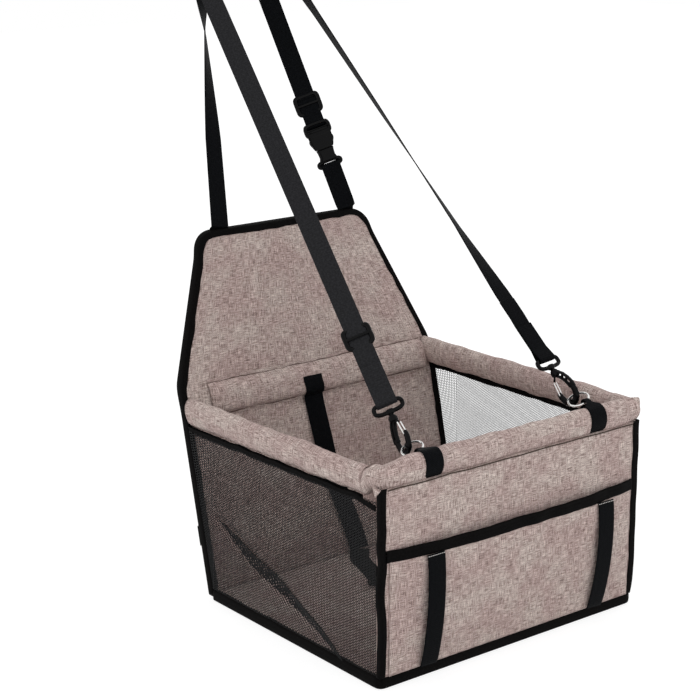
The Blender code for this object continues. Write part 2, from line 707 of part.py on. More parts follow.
def back_band():
    """A D-shaped cloth tunnel sewn across the backrest."""
    turns = np.linspace(-90, 90, 13)
    outer = np.array([(BAND_HEIGHT / 2 * math.sin(t), BAND_DEPTH * math.cos(t)) for t in np.radians(turns)])
    shrink = np.array([(BAND_HEIGHT / 2 - FABRIC) / (BAND_HEIGHT / 2), (BAND_DEPTH - 2 * FABRIC) / BAND_DEPTH])
    inner = outer * shrink + [0, FABRIC]
    base = np.array([0, back_y(BAND_Z), BAND_Z]) + BAND_NORMAL * SEAT_GAP
    ends = [base + X_AXIS * x for x in np.linspace(BAND_START_X, BAND_END_X - TAPE_FACE, 3)]
    outer_rings = rings_of(ends, [BAND_SLOPE] * 3, [BAND_NORMAL] * 3, outer)
    inner_rings = rings_of(ends, [BAND_SLOPE] * 3, [BAND_NORMAL] * 3, inner)
    pipe("back_band", outer_rings, inner_rings, "linen_cloth")
    middle = base + BAND_NORMAL * (FABRIC + SEAT_GAP + BAND_TUBE_R)
    start = middle + X_AXIS * (BAND_START_X + TUBE_END)
    end = middle + X_AXIS * (BAND_END_X - TAPE_FACE - TUBE_END)
    tube("back_tube", start, end, BAND_TUBE_R, "tube")


back_band()

# Tether: webbing sewn to the band, down the backrest and over the floor to its hook
TETHER_LIFT = 2 * SEAT_GAP + WEB_THICK / 2
TETHER_BEND_SHARE = 1.2
TETHER_LEAVES_DEGREES = -62


def tether_back():
    """The tether's upright stretch, over the band and down the backrest's inner face."""
    clear = SEAT_GAP + WEB_THICK / 2
    start = math.degrees(math.asin((TETHER_TOP_Z - BAND_Z) / (BAND_HEIGHT / 2)))
    route = []
    for turn in np.radians(np.linspace(start, TETHER_LEAVES_DEGREES, 7)):
        on_band = np.array([BAND_HEIGHT / 2 * math.sin(turn), BAND_DEPTH * math.cos(turn)])
        away = unit([math.sin(turn) / (BAND_HEIGHT / 2), math.cos(turn) / BAND_DEPTH])
        route.append(on_band + TETHER_BEND_SHARE * clear * away)
    base = np.array([0, back_y(BAND_Z), BAND_Z])
    points = [base + BAND_SLOPE * a + BAND_NORMAL * b for a, b in route]
    low = BASE_TOP_Z + 2 * WEB_THICK
    high = points[-1][2] - WEB_WIDTH / 2
    for z in np.linspace(high, low, 7):
        points.append(np.array([0, back_y(z) - TETHER_LIFT, z]))
    heights = (TETHER_TOP_Z, BAND_Z, 0.5 * (BAND_Z + BASE_TOP_Z), low)
    places = (0, 0, TETHER_MIDDLE_X, TETHER_FLOOR_X)
    for point in points:
        point[0] = np.interp(-point[2], [-z for z in heights], places)
    ups = [unit(np.cross(tangent, X_AXIS)) for tangent in np.gradient(np.array(points), axis=0)]
    return band("tether_back", points, [X_AXIS] * len(points), ups, "black_webbing")


tether_back()


def tether_floor():
    """The tether's stretch that lies on the floor, up to its hook."""
    z = BASE_TOP_Z + TETHER_LIFT
    start_y = back_y(BASE_TOP_Z) - TETHER_LIFT - 2 * WEB_THICK
    route = [
        (TETHER_FLOOR_X, start_y, z),
        (TETHER_BEND_X, 0.5 * (start_y + TETHER_END_Y) + WEB_WIDTH, z),
        (0.5 * (TETHER_BEND_X + TETHER_END_X), 0.5 * (start_y + TETHER_END_Y) - WEB_WIDTH / 2, z),
        (TETHER_END_X, TETHER_END_Y, z),
    ]
    points = smooth_path(route, 4)
    tangents = np.gradient(points, axis=0)
    tangents[0] = -Y_AXIS
    sides = [np.cross(Z_AXIS, unit(t)) for t in tangents]
    band("tether_floor", points, sides, [Z_AXIS] * len(points), "black_webbing")
    return points[-1], unit(tangents[-1])


tether_end, tether_along = tether_floor()


def belt_loop():
    """A webbing across the rear for the car's own belt, sewn at both ends."""
    points = []
    up = back_slope(BELT_LOOP_Z)
    normal = np.cross(up, X_AXIS)
    for share in np.linspace(-1, 1, 15):
        proud = BELT_LOOP_PROUD * min(1.0, 4 * (1 - abs(share)))
        depth = COVER_BACK + SEAT_GAP + TAPE + TETHER_LIFT
        start = np.array([BELT_LOOP_HALF * share, back_y(BELT_LOOP_Z) + depth, BELT_LOOP_Z])
        points.append(start + normal * proud)
    return band("belt_loop", points, [up] * len(points), [normal] * len(points), "black_webbing")


belt_loop()

# Headrest loop
HEADREST_Y = HEADREST_FRONT_Y + HEADREST_HALF_Y


def headrest_loop():
    """The wide loop of webbing that goes round the headrest."""
    points = []
    for turn in 2 * math.pi * np.arange(40) / 40:
        c, s = math.cos(turn), math.sin(turn)
        power = 2 / HEADREST_SQUARENESS
        x = HEADREST_HALF_X * math.copysign(abs(c) ** power, c)
        y = HEADREST_HALF_Y * math.copysign(abs(s) ** power, s)
        points.append((x, HEADREST_Y + y, HEADREST_Z))
    sides, ups = frames_along(points, Z_AXIS, closed=True)
    return band("headrest_loop", points, sides, ups, "black_webbing", closed=True)


headrest_loop()


def headrest_front(x):
    """How far forward the headrest loop's front lies at x."""
    share = 1 - (x / HEADREST_HALF_X) ** HEADREST_SQUARENESS
    return HEADREST_Y - HEADREST_HALF_Y * share ** (1 / HEADREST_SQUARENESS)


STRAP_FRONT_Y = headrest_front(FRONT_STRAP_TOP_X - WEB_WIDTH / 2) - WEB_THICK - SEAT_GAP
STRAP_INNER_Y = headrest_front(BACK_STRAP_TOP_X + WEB_WIDTH / 2) + WEB_THICK + 2 * SEAT_GAP
SEAM_Z = HEADREST_Z - WEB_WIDTH / 2
SEAM_TOP_Z = HEADREST_Z + WEB_WIDTH / 2


def strap_frame(start, end, degrees):
    """The width and face directions of a strap at one twist."""
    along = unit(end - start)
    flat = unit(X_AXIS - along * along[0])
    upright = np.cross(along, flat)
    angle = math.radians(degrees)
    side = flat * math.cos(angle) + upright * math.sin(angle)
    return side, np.cross(along, side)


def strap_stretch(start, end, low, high, twists, steps=STRAP_STEPS):
    """Points and frames along a straight, twisting strap between two distances from its start."""
    length = np.linalg.norm(end - start)
    along = unit(end - start)
    points = []
    sides = []
    ups = []
    for reach in np.linspace(low, high, steps + 1):
        share = reach / length
        degrees = np.interp(share, [t[0] for t in twists], [t[1] for t in twists])
        side, up = strap_frame(start, end, degrees)
        points.append(start + along * reach)
        sides.append(side)
        ups.append(up)
    return points, sides, ups


def seam_end(points, sides, ups, x, y):
    """Carries a strap on, flat against the headrest loop, up to the loop's top edge."""
    turned = round(np.dot(sides[-1], X_AXIS))
    for z in (SEAM_Z + WEB_THICK, SEAM_TOP_Z):
        points.append(np.array([x, y, z]))
        sides.append(X_AXIS * turned)
        ups.append(np.cross(Z_AXIS, X_AXIS * turned))
    return points, sides, ups


def hook_frame(side):
    """Where a front hook hangs: its eye, its strap's top and the way along them."""
    ring = np.array([RING_X[side], RING_Y[side], RING_Z[side]])
    top = np.array([side * FRONT_STRAP_TOP_X, STRAP_FRONT_Y, SEAM_Z])
    along = unit(top - ring)
    return ring + along * HOOK_REACH, top, along


def hairpin(start, along, side, up, bar_r, sewn, high):
    """A webbing's fold round a bar: two layers up to where its end is sewn down, and one beyond."""
    wide = bar_r + 3 * SEAT_GAP + WEB_THICK / 2
    close = WEB_THICK / 2 + SEAT_GAP
    drawn = FOLD_DRAWN_SHARE * bar_r
    single = sewn + WEB_WIDTH / 2
    front = [(high, 0.0), ((high + single) / 2, 0.0), (single, 0.0), (sewn, close), (drawn, close)]
    back = [(drawn, -close), ((drawn + sewn) / 2, -close), (sewn - 2 * SEAT_GAP, -close)]
    turn = [(-wide * math.cos(t), wide * math.sin(t)) for t in np.radians(np.linspace(75, -75, 9))]
    points = np.array([start + along * a + up * b for a, b in front + turn + back])
    normals = [np.cross(unit(tangent), side) for tangent in np.gradient(points, axis=0)]
    return points, [side] * len(points), normals


def front_strap(side, word, split):
    """A front strap in two pieces: the fold on the hook's eye, and the long stretch to the headrest."""
    eye, top, along = hook_frame(side)
    twists = FRONT_STRAP_TWIST[side]
    bar = eye + along * EYE_HALF_HEIGHT
    side_way, up = strap_frame(eye, top, twists[0][1])
    sewn = SEWN_END - EYE_HALF_HEIGHT
    points, sides, ups = hairpin(bar, along, side_way, up, EYE_BAR_R, sewn, split - EYE_HALF_HEIGHT)
    band(f"front_strap_{word}_lower", points, sides, ups, "black_webbing")
    reach = np.linalg.norm(top - eye)
    points, sides, ups = strap_stretch(eye, top, split + SEAT_GAP, reach, twists)
    points, sides, ups = seam_end(points, sides, ups, top[0], top[1])
    band(f"front_strap_{word}_upper", points, sides, ups, "black_webbing")


front_strap(-1, "left", FRONT_SLIDER_REACH)
front_strap(1, "right", FRONT_SLIDER_REACH)

# Hooks. Along runs from the ring to the eye, across runs from the spine to the gate.
HOOK_SPINE_SHARES = (
    (1.06, 0.00),
    (0.80, -0.62),
    (0.42, -1.00),
    (0.02, -0.92),
    (-0.20, -0.22),
    (-0.13, 0.62),
    (0.17, 0.98),
)
HOOK_HALF_WIDTH = 0.0112
GATE_LOW = 0.0100
GATE_HIGH = 0.0262
GATE_LOW_SHARE = 0.98
GATE_HIGH_SHARE = 0.72
TAB_NOSE_SHARE = 2.2


def hook_point(ring, along, across, flat, a, b, c=0.0):
    """A point of the hook, from the place where the ring sits in it."""
    return ring + along * a + across * b + flat * c


def hook(word, ring, along, across, eye_side, eye_up):
    """A swivel hook: its body, wire gate and oval eye."""
    flat = np.cross(along, across)
    route = [hook_point(ring, along, across, flat, a * HOOK_SHOULDER, b * HOOK_HALF_WIDTH) for a, b in HOOK_SPINE_SHARES]
    points = smooth_path(route, 4)
    bm = bmesh.new()
    add_loft(bm, rings_of(points, *frames_along(points, flat), circle(HOOK_BAR_R, ROUND_SIDES)))
    body = finish(f"{word}_hook", bm, "black_plastic", ring)
    bm = bmesh.new()
    ends = [ring + along * (HOOK_SHOULDER - HOOK_BAR_R / 2), ring + along * (HOOK_SHOULDER + BARREL_LENGTH)]
    add_loft(bm, rings_of(ends, [across] * 2, [flat] * 2, circle(BARREL_R, 2 * ROUND_SIDES)))
    join(body, finish(f"{word}_barrel_part", bm, "black_plastic", ring))

    wide = GATE_SPREAD
    ends = ((GATE_HIGH, GATE_HIGH_SHARE * HOOK_HALF_WIDTH), (GATE_LOW, GATE_LOW_SHARE * HOOK_HALF_WIDTH))
    bm = bmesh.new()
    lug_top = hook_point(ring, along, across, flat, HOOK_SHOULDER + BARREL_LENGTH / 2, 0)
    lug = [lug_top, hook_point(ring, along, across, flat, GATE_HIGH, ends[0][1])]
    lug_r = GATE_SPREAD - GATE_WIRE_R - SEAT_GAP
    add_loft(bm, rings_of(lug, *frames_along(lug, flat), circle(lug_r, ROUND_SIDES)))
    join(body, finish(f"{word}_lug_part", bm, "black_plastic", ring))
    corners = [(*ends[0], wide), (*ends[1], wide), (*ends[1], -wide), (*ends[0], -wide)]
    low = (ends[1][0] - GATE_WIRE_R, ends[1][1], 0.0)
    wire = smooth_path([hook_point(ring, along, across, flat, *p) for p in (*corners[:2], low, *corners[2:])], 3)
    pivot = hook_point(ring, along, across, flat, GATE_HIGH, ends[0][1])
    gate_rings = rings_of(wire, *frames_along(wire, across), circle(GATE_WIRE_R, 8))
    loft(f"{word}_gate", gate_rings, "steel", origin=pivot)

    shoulder = HOOK_SHOULDER + BARREL_LENGTH + SEAT_GAP
    centre = ring + along * HOOK_REACH
    turns = 2 * math.pi * np.arange(28) / 28
    loop = [
        centre + eye_side * EYE_HALF_X * math.copysign(abs(math.cos(t)) ** EYE_SQUARE_SHARE, math.cos(t))
        + along * EYE_HALF_HEIGHT * math.copysign(abs(math.sin(t)) ** EYE_SQUARE_SHARE, math.sin(t))
        for t in turns
    ]
    bm = bmesh.new()
    add_loft(bm, rings_of(loop, *frames_along(loop, eye_up, closed=True), circle(EYE_BAR_R, 8)), closed=True)
    eye = finish(f"{word}_eye", bm, "black_plastic", centre)
    bm = bmesh.new()
    ends = [ring + along * shoulder, ring + along * (HOOK_REACH - EYE_HALF_HEIGHT)]
    add_loft(bm, rings_of(ends, [eye_side] * 2, [eye_up] * 2, circle(STEM_R, ROUND_SIDES)))
    join(eye, finish(f"{word}_stem_part", bm, "black_plastic", centre))


def front_hook(side, word):
    """One front hook, its ring and the webbing tab. The left hook hangs half a turn from the right one."""
    eye, top, along = hook_frame(side)
    ring = eye - along * HOOK_REACH
    across = side * unit(-Z_AXIS + along * along[2])
    eye_side, eye_up = strap_frame(eye, top, FRONT_STRAP_TWIST[side][0][1])
    hook(f"front_{word}", ring, along, across, eye_side, eye_up)

    anchor = ring - Y_AXIS * 2 * RING_R
    centre = ring - Y_AXIS * RING_R
    turns = 2 * math.pi * np.arange(36) / 36
    wire = [centre + RING_R * (X_AXIS * math.cos(t) + Y_AXIS * math.sin(t)) for t in turns]
    frames = frames_along(wire, Z_AXIS, closed=True)
    loft(f"ring_{word}", rings_of(wire, *frames, circle(RING_WIRE_R, 8)), "steel", closed=True, origin=anchor)

    sleeve_y = FRONT_SLEEVE_Y
    grow = SEAT_GAP + WEB_THICK / 2
    oval = ellipse(SLEEVE_DEPTH / 2 + grow, FRONT_SLEEVE_HEIGHT / 2 + grow, 30) + [sleeve_y, FRONT_SLEEVE_Z]
    sagitta = RING_R - math.sqrt(RING_R**2 - (RING_TAB_WIDTH / 2) ** 2)
    nose_r = RING_WIRE_R + sagitta + SEAT_GAP + WEB_THICK / 2
    nose = circle(nose_r, 14) + [anchor[1] + sagitta / 2, anchor[2]]
    outline = hull(np.vstack([oval, nose]))
    path = np.array([(anchor[0], y, z) for y, z in outline])
    nearness = np.hypot(outline[:, 0] - anchor[1], outline[:, 1] - anchor[2])
    widths = np.where(nearness < TAB_NOSE_SHARE * nose_r, RING_TAB_WIDTH, WEB_WIDTH)
    sides, ups = frames_along(path, X_AXIS, closed=True)
    rings = [
        rings_of([p], [s], [u], rectangle(w, WEB_THICK))[0] for p, s, u, w in zip(path, sides, ups, widths)
    ]
    loft(f"ring_tab_{word}", rings, "black_webbing", closed=True)


front_hook(-1, "left")
front_hook(1, "right")

# Tether hook, lying on the floor
tether_eye = tether_end + tether_along * (WEB_THICK + EYE_BAR_R + SEAT_GAP + EYE_HALF_HEIGHT)
tether_eye[2] = BASE_TOP_Z + BARREL_R + 2 * SEAT_GAP
hook(
    "tether",
    tether_eye + tether_along * HOOK_REACH,
    -tether_along,
    np.cross(Z_AXIS, tether_along),
    np.cross(Z_AXIS, tether_along),
    Z_AXIS,
)


def slider(name, start, end, reach, twists):
    """A three-bar adjuster: two bars before the webbing and one behind it."""
    length = np.linalg.norm(end - start)
    degrees = np.interp(reach / length, [t[0] for t in twists], [t[1] for t in twists])
    side, up = strap_frame(start, end, degrees)
    along = unit(end - start)
    centre = start + along * reach
    lift = WEB_THICK / 2 + SEAT_GAP + SLIDER_THICK / 2
    rail_x = SLIDER_WIDTH / 2 - SLIDER_BAR / 2
    bar_x = SLIDER_WIDTH - SLIDER_BAR
    bar_y = SLIDER_LENGTH / 2 - SLIDER_BAR / 2 - SEAT_GAP
    high = 2 * (lift + SEAT_GAP) + SLIDER_THICK
    blocks = [
        (-rail_x, 0, 0, SLIDER_BAR, SLIDER_LENGTH, high),
        (0, bar_y, lift, bar_x, SLIDER_BAR, SLIDER_THICK),
        (0, -bar_y, lift, bar_x, SLIDER_BAR, SLIDER_THICK),
        (0, 0, -lift, bar_x, SLIDER_BAR, SLIDER_THICK),
        (rail_x, 0, 0, SLIDER_BAR, SLIDER_LENGTH, high),
    ]
    return blocks_union(name, blocks, centre, side, along, up)


def block(name, centre, side, along, up, spec):
    """One box of a moulded piece, in the piece's own directions."""
    x, y, z, width, length, height = spec
    middle = centre + side * x + along * y + up * z
    ends = [middle - along * length / 2, middle + along * length / 2]
    return loft(name, rings_of(ends, [side] * 2, [up] * 2, rectangle(width, height)), "black_plastic", smooth=False)


def blocks_union(name, blocks, centre, side, along, up):
    """A moulded piece made of boxes joined together."""
    made = block(name, centre, side, along, up, blocks[0])
    for i, spec in enumerate(blocks[1:]):
        join(made, block(f"{name}_block_{i}", centre, side, along, up, spec))
    return made


front_eye, front_top, front_along = hook_frame(-1)
slider("front_slider", front_eye, front_top, FRONT_SLIDER_REACH, FRONT_STRAP_TWIST[-1])

# Back straps and the buckle in the right one
BACK_STRAP_FOOT_Z = BACK_TOP_Z - TAPE_FACE


def back_strap_ends(side):
    """The foot and the top of a back strap."""
    foot_y = back_y(BACK_TOP_Z)
    start = np.array([BACK_STRAP_X[side], foot_y, BACK_TOP_Z + SEAT_GAP])
    end = np.array([side * BACK_STRAP_TOP_X, STRAP_INNER_Y, SEAM_Z])
    return start, end


def back_strap_left():
    """The left back strap, one plain twisting webbing."""
    start, end = back_strap_ends(-1)
    reach = np.linalg.norm(end - start)
    points, sides, ups = strap_stretch(start, end, STRAP_FOOT, reach, BACK_STRAP_TWIST[-1])
    points, sides, ups = seam_end(points, sides, ups, end[0], end[1])
    band("back_strap_left", points, sides, ups, "black_webbing")


back_strap_left()
right_start, right_end = back_strap_ends(1)
right_along = unit(right_end - right_start)
BUCKLE_DEGREES = BACK_STRAP_TWIST[1][1][1]
buckle_side, buckle_up = strap_frame(right_start, right_end, BUCKLE_DEGREES)


def back_strap_right():
    """The right back strap: a short stretch below the buckle and a long one above it."""
    twists = BACK_STRAP_TWIST[1]
    points, sides, ups = strap_stretch(right_start, right_end, STRAP_FOOT, BUCKLE_START - SEAT_GAP, twists, 6)
    band("back_strap_right_lower", points, sides, ups, "black_webbing")
    reach = np.linalg.norm(right_end - right_start)
    points, sides, ups = strap_stretch(right_start, right_end, BUCKLE_END + SEAT_GAP, reach, twists)
    points, sides, ups = seam_end(points, sides, ups, right_end[0], right_end[1])
    band("back_strap_right_upper", points, sides, ups, "black_webbing")


back_strap_right()
slider("back_slider", right_start, right_end, BACK_SLIDER_REACH, BACK_STRAP_TWIST[1])

LATCH_CROWN_SHARE = 0.55
LATCH_ROOT_SHARE = 1.6
LATCH_OUTER_SHARE = 0.62
LATCH_THICK_SHARE = 0.6


def buckle():
    """The side-release buckle: the socket above, the plug below with its two springy latches."""
    length = BUCKLE_END - BUCKLE_SPLIT
    slot = 2 * SLIDER_BAR
    centre = right_start + right_along * (BUCKLE_SPLIT + length / 2)
    wall_z = BUCKLE_THICK / 2 - BUCKLE_WALL / 2 - SEAT_GAP
    pocket = length - 2 * SLIDER_BAR - slot
    blocks = [
        (0, -length / 2 + pocket / 2, wall_z, BUCKLE_WIDTH - 2 * BUCKLE_WALL, pocket, BUCKLE_WALL),
        (0, -length / 2 + pocket / 2, -wall_z, BUCKLE_WIDTH - 2 * BUCKLE_WALL, pocket, BUCKLE_WALL),
        (0, -length / 2 + pocket + SLIDER_BAR / 2 - SEAT_GAP, 0, BUCKLE_WIDTH, SLIDER_BAR, BUCKLE_THICK),
        (0, length / 2 - SLIDER_BAR / 2, 0, BUCKLE_WIDTH - SLIDER_BAR, SLIDER_BAR, BUCKLE_THICK / 2),
    ]
    rail_x = BUCKLE_WIDTH / 2 - SLIDER_BAR - SEAT_GAP
    rail_high = BUCKLE_THICK / 2 - 2 * SEAT_GAP
    for way in (-1, 1):
        blocks.append((way * rail_x, length / 2 - slot / 2 - SLIDER_BAR, 0, SLIDER_BAR, slot + SLIDER_BAR, rail_high))
    blocks_union("buckle_socket", blocks, centre, buckle_side, right_along, buckle_up)

    plug_length = BUCKLE_SPLIT - BUCKLE_START - SEAT_GAP
    plug = right_start + right_along * (BUCKLE_START + plug_length / 2)
    body_low = -plug_length / 2 + SLIDER_BAR + slot
    body = plug_length / 2 - body_low
    tongue = pocket - 2 * SEAT_GAP - SLIDER_BAR
    inside = BUCKLE_THICK - 2 * BUCKLE_WALL - 6 * SEAT_GAP
    blocks = [
        (0, body_low + body / 2, 0, BUCKLE_WIDTH - SLIDER_BAR, body, BUCKLE_THICK),
        (0, -plug_length / 2 + SLIDER_BAR / 2, 0, BUCKLE_WIDTH - SLIDER_BAR, SLIDER_BAR, BUCKLE_THICK / 2),
        (0, plug_length / 2 + tongue / 2, 0, SLIDER_BAR, tongue + SLIDER_BAR, inside),
    ]
    for way in (-1, 1):
        blocks.append((way * rail_x, -plug_length / 2 + slot / 2 + SLIDER_BAR, 0, SLIDER_BAR, slot + SLIDER_BAR, rail_high))
    blocks_union("buckle_plug", blocks, plug, buckle_side, right_along, buckle_up)

    root = plug_length / 2 + 3 * SEAT_GAP
    reach = tongue - 2 * SEAT_GAP
    for way, word in ((-1, "left"), (1, "right")):
        inner_x = way * (BUCKLE_WIDTH / 2 - LATCH_ROOT_SHARE * SLIDER_BAR)
        outer_x = way * (BUCKLE_WIDTH / 2 - LATCH_OUTER_SHARE * SLIDER_BAR)
        route = [
            plug + buckle_side * inner_x + right_along * root,
            plug + buckle_side * outer_x + right_along * (root + LATCH_CROWN_SHARE * reach),
            plug + buckle_side * inner_x + right_along * (root + reach),
        ]
        points = smooth_path(route, 3)
        sides, ups = frames_along(points, buckle_up)
        thick = SLIDER_BAR * LATCH_THICK_SHARE
        band(f"buckle_latch_{word}", points, sides, ups, "black_plastic", inside, thick, origin=route[0])


buckle()
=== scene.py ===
# %% [markdown]
# # A fold-up dog car seat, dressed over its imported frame
# The real seat is a soft basket: linen-look cloth on boards and tubes, mesh at both sides, black tape
# on every edge and webbing up to the headrest. The CAD frame holds each piece as a plain solid. Here
# every cloth, tape and webbing gets a surface of its own, worked out with numpy on a grid, because a
# formula keeps seams, puckers and folds in the places where the needle put them.

# %% Load the frame and note its box
import math

import bmesh
import bpy
import numpy as np
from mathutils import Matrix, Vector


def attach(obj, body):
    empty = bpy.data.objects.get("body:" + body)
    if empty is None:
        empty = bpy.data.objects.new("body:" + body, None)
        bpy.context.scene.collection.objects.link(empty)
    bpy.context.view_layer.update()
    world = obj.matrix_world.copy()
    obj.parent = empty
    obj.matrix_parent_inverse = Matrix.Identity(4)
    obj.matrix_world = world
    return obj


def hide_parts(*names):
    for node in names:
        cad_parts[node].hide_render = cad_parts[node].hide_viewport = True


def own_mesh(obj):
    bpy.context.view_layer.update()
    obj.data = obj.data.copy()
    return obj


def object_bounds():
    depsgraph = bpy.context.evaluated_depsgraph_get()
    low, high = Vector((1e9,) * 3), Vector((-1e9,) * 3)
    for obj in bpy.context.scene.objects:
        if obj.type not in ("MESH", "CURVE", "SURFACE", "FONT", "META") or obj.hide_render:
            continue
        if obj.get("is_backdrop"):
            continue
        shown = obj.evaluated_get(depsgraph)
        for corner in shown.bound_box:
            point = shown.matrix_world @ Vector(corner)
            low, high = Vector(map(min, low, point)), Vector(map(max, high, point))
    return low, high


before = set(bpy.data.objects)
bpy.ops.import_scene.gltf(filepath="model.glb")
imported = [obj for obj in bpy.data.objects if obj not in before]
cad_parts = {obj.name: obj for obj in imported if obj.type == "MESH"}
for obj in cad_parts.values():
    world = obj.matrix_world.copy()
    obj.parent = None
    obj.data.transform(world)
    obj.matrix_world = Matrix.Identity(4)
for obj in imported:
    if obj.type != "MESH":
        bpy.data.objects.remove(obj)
cad_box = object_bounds()

# %% [markdown]
# The camera stands where the photograph's did: left of the seat, a little above it. Its place was
# worked out from the basket's edges and the known width of the webbing.

# %% Camera
CAMERA_PLACE = (-1.41698, -1.64286, 0.92539)
CAMERA_PITCH = 15.6074
CAMERA_YAW = 38.4466

camera_data = bpy.data.cameras.new("camera")
camera_data.sensor_width = 36.0
camera_data.lens = 97.96
camera = bpy.data.objects.new("camera", camera_data)
camera.location = CAMERA_PLACE
camera.rotation_euler = (math.radians(90 - CAMERA_PITCH), 0, math.radians(-CAMERA_YAW))
bpy.context.scene.collection.objects.link(camera)
bpy.context.scene.camera = camera
print("camera lens", camera_data.lens)

# %% [markdown]
# A surface is a grid of points: rows run along the piece and columns run across it. One helper measures
# the grid, so that the UV map is in metres and a weave keeps its real size. One turns the grid into
# quads. One adds soft ripples, because no sewn cloth lies quite flat. The small ones are shorthand for
# circles, superellipses and gentle changes, which come back in many pieces.

# %% Grids, UV maps and ripples
X_AXIS = np.array([1.0, 0.0, 0.0])
Y_AXIS = np.array([0.0, 1.0, 0.0])
Z_AXIS = np.array([0.0, 0.0, 1.0])


def unit(vectors):
    """Each vector divided by its length."""
    vectors = np.asarray(vectors, float)
    return vectors / np.linalg.norm(vectors, axis=-1, keepdims=True)


def rounded(value, power):
    """The size of the value to a power, with its sign kept, which is what shapes a superellipse."""
    return np.sign(value) * np.abs(value) ** power


def circle(count):
    """Cosine and sine of evenly spaced angles round a full turn."""
    turn = 2 * math.pi * np.arange(count) / count
    return np.cos(turn), np.sin(turn)


def eased(share):
    """3 s^2 - 2 s^3: a change from 0 to 1 that starts and ends gently."""
    return share * share * (3 - 2 * share)


def unrolled(points, wrap):
    """UV in metres: u adds up the mean steps across the rows, v the mean steps along the columns."""
    ring = np.concatenate([points, points[:, :1]], axis=1) if wrap else points
    across = np.linalg.norm(np.diff(ring, axis=1), axis=2).mean(axis=0)
    along = np.linalg.norm(np.diff(points, axis=0), axis=2).mean(axis=1)
    return np.stack(np.meshgrid(np.append(0, np.cumsum(across)), np.append(0, np.cumsum(along))), axis=-1)


def placed(name, mesh):
    """An object that shows the mesh."""
    made = bpy.data.objects.new(name, mesh)
    bpy.context.scene.collection.objects.link(made)
    return made


def surface(name, points, uv=None, wrap=False, caps=False, crease=40):
    """Quad (i, j), (i, j+1), (i+1, j+1), (i+1, j) of the grid for every i and j, with its UV map."""
    rows, cols = points.shape[:2]
    uv = unrolled(points, wrap) if uv is None else uv
    i, j = np.indices((rows - 1, cols - 1 + wrap)).reshape(2, -1)
    corner_i = np.stack([i, i, i + 1, i + 1], axis=1)
    corner_j = np.stack([j, j + 1, j + 1, j], axis=1)
    faces = (corner_i * cols + corner_j % cols).tolist()
    loops = [uv[corner_i, corner_j].reshape(-1, 2)]
    if caps:
        faces += [np.arange(cols).tolist(), (np.arange(cols) + (rows - 1) * cols).tolist()]
        loops += [uv[0, :cols], uv[-1, :cols]]
    mesh = bpy.data.meshes.new(name)
    mesh.from_pydata(points.reshape(-1, 3).tolist(), [], faces)
    flat_uv = np.concatenate(loops).astype(np.float32).ravel()
    mesh.uv_layers.new(name="Unrolled").data.foreach_set("uv", flat_uv)
    bm = bmesh.new()
    bm.from_mesh(mesh)
    bmesh.ops.remove_doubles(bm, verts=bm.verts, dist=1e-6)
    bmesh.ops.recalc_face_normals(bm, faces=bm.faces)
    bm.to_mesh(mesh)
    bm.free()
    mesh.shade_smooth()
    mesh.set_sharp_from_angle(angle=math.radians(crease))
    return placed(name, mesh)


def walled(made, thick, word="wall"):
    """The same surface with a wall: half the thickness to each side."""
    wall = made.modifiers.new(word, "SOLIDIFY")
    wall.thickness = thick
    wall.offset = 0
    return made


def cloth(name, points, thick, wrap=False):
    """A grid with a wall."""
    return walled(surface(name, points, wrap=wrap), thick)


def ripples(places, size, seed, count=22):
    """Sum of sine waves in seeded directions, each about one size long, scaled to a spread of one."""
    rng = np.random.default_rng(seed)
    ways = unit(rng.normal(size=(count, places.shape[-1])))
    phases = places @ ways.T * (2 * math.pi / size) * rng.uniform(0.6, 1.5, count)
    return np.sin(phases + rng.uniform(0, 2 * math.pi, count)).sum(-1) / math.sqrt(count / 2)


def ripples_along(x, size, seed):
    """The same waves along one line."""
    return ripples(np.column_stack([x, x * 0]), size, seed)


def grid(u_low, u_high, cols, v_low, v_high, rows):
    """Two arrays over a grid: u runs across, v runs along."""
    return np.meshgrid(np.linspace(u_low, u_high, cols), np.linspace(v_low, v_high, rows))


def bump_at(x, centre, width):
    """A bell of height one: e to the minus square of the distance over the width."""
    return np.exp(-(((x - centre) / width) ** 2))


print("one unit of UV is one metre")

# %% [markdown]
# Every finish starts from what the real one is. Colours are written as sRGB hex and turned to linear
# light once. One helper adds a node, with its settings and what feeds it.

# %% Colour and node helpers


def linear(code):
    """sRGB to linear: c / 12.92 up to 0.04045, and ((c + 0.055) / 1.055) to the power 2.4 above it."""
    c = np.array([int(code[i : i + 2], 16) for i in (1, 3, 5)]) / 255
    return (*np.where(c <= 0.04045, c / 12.92, ((c + 0.055) / 1.055) ** 2.4), 1.0)


def add(tree, kind, feeds=None, **settings):
    """A node with its properties set, and its inputs set to values or linked to sockets."""
    made = tree.nodes.new(kind)
    for key, value in settings.items():
        setattr(made, key, value)
    for key, value in (feeds or {}).items():
        if isinstance(value, bpy.types.NodeSocket):
            tree.links.new(value, made.inputs[key])
        else:
            made.inputs[key].default_value = value
    return made


def finish(name, slot, **sockets):
    """A material with its Principled shader's own sockets set, and the record's slot noted on it."""
    made = bpy.data.materials.new(name)
    made.use_nodes = True
    made["slot"] = slot
    shader = made.node_tree.nodes["Principled BSDF"]
    for key, value in sockets.items():
        shader.inputs[key.replace("_", " ")].default_value = value
    return made, made.node_tree, shader


def sine_of(tree, vector, way, size):
    """sin(2 pi times the distance along a way, over a size)."""
    turn = 2 * math.pi / size
    dot = add(tree, "ShaderNodeVectorMath", {0: vector, 1: [c * turn for c in way]}, operation="DOT_PRODUCT")
    return add(tree, "ShaderNodeMath", {0: dot.outputs["Value"]}, operation="SINE").outputs[0]


def math_of(tree, operation, a, b=0.0):
    """One step of arithmetic."""
    return add(tree, "ShaderNodeMath", {0: a, 1: b}, operation=operation).outputs[0]


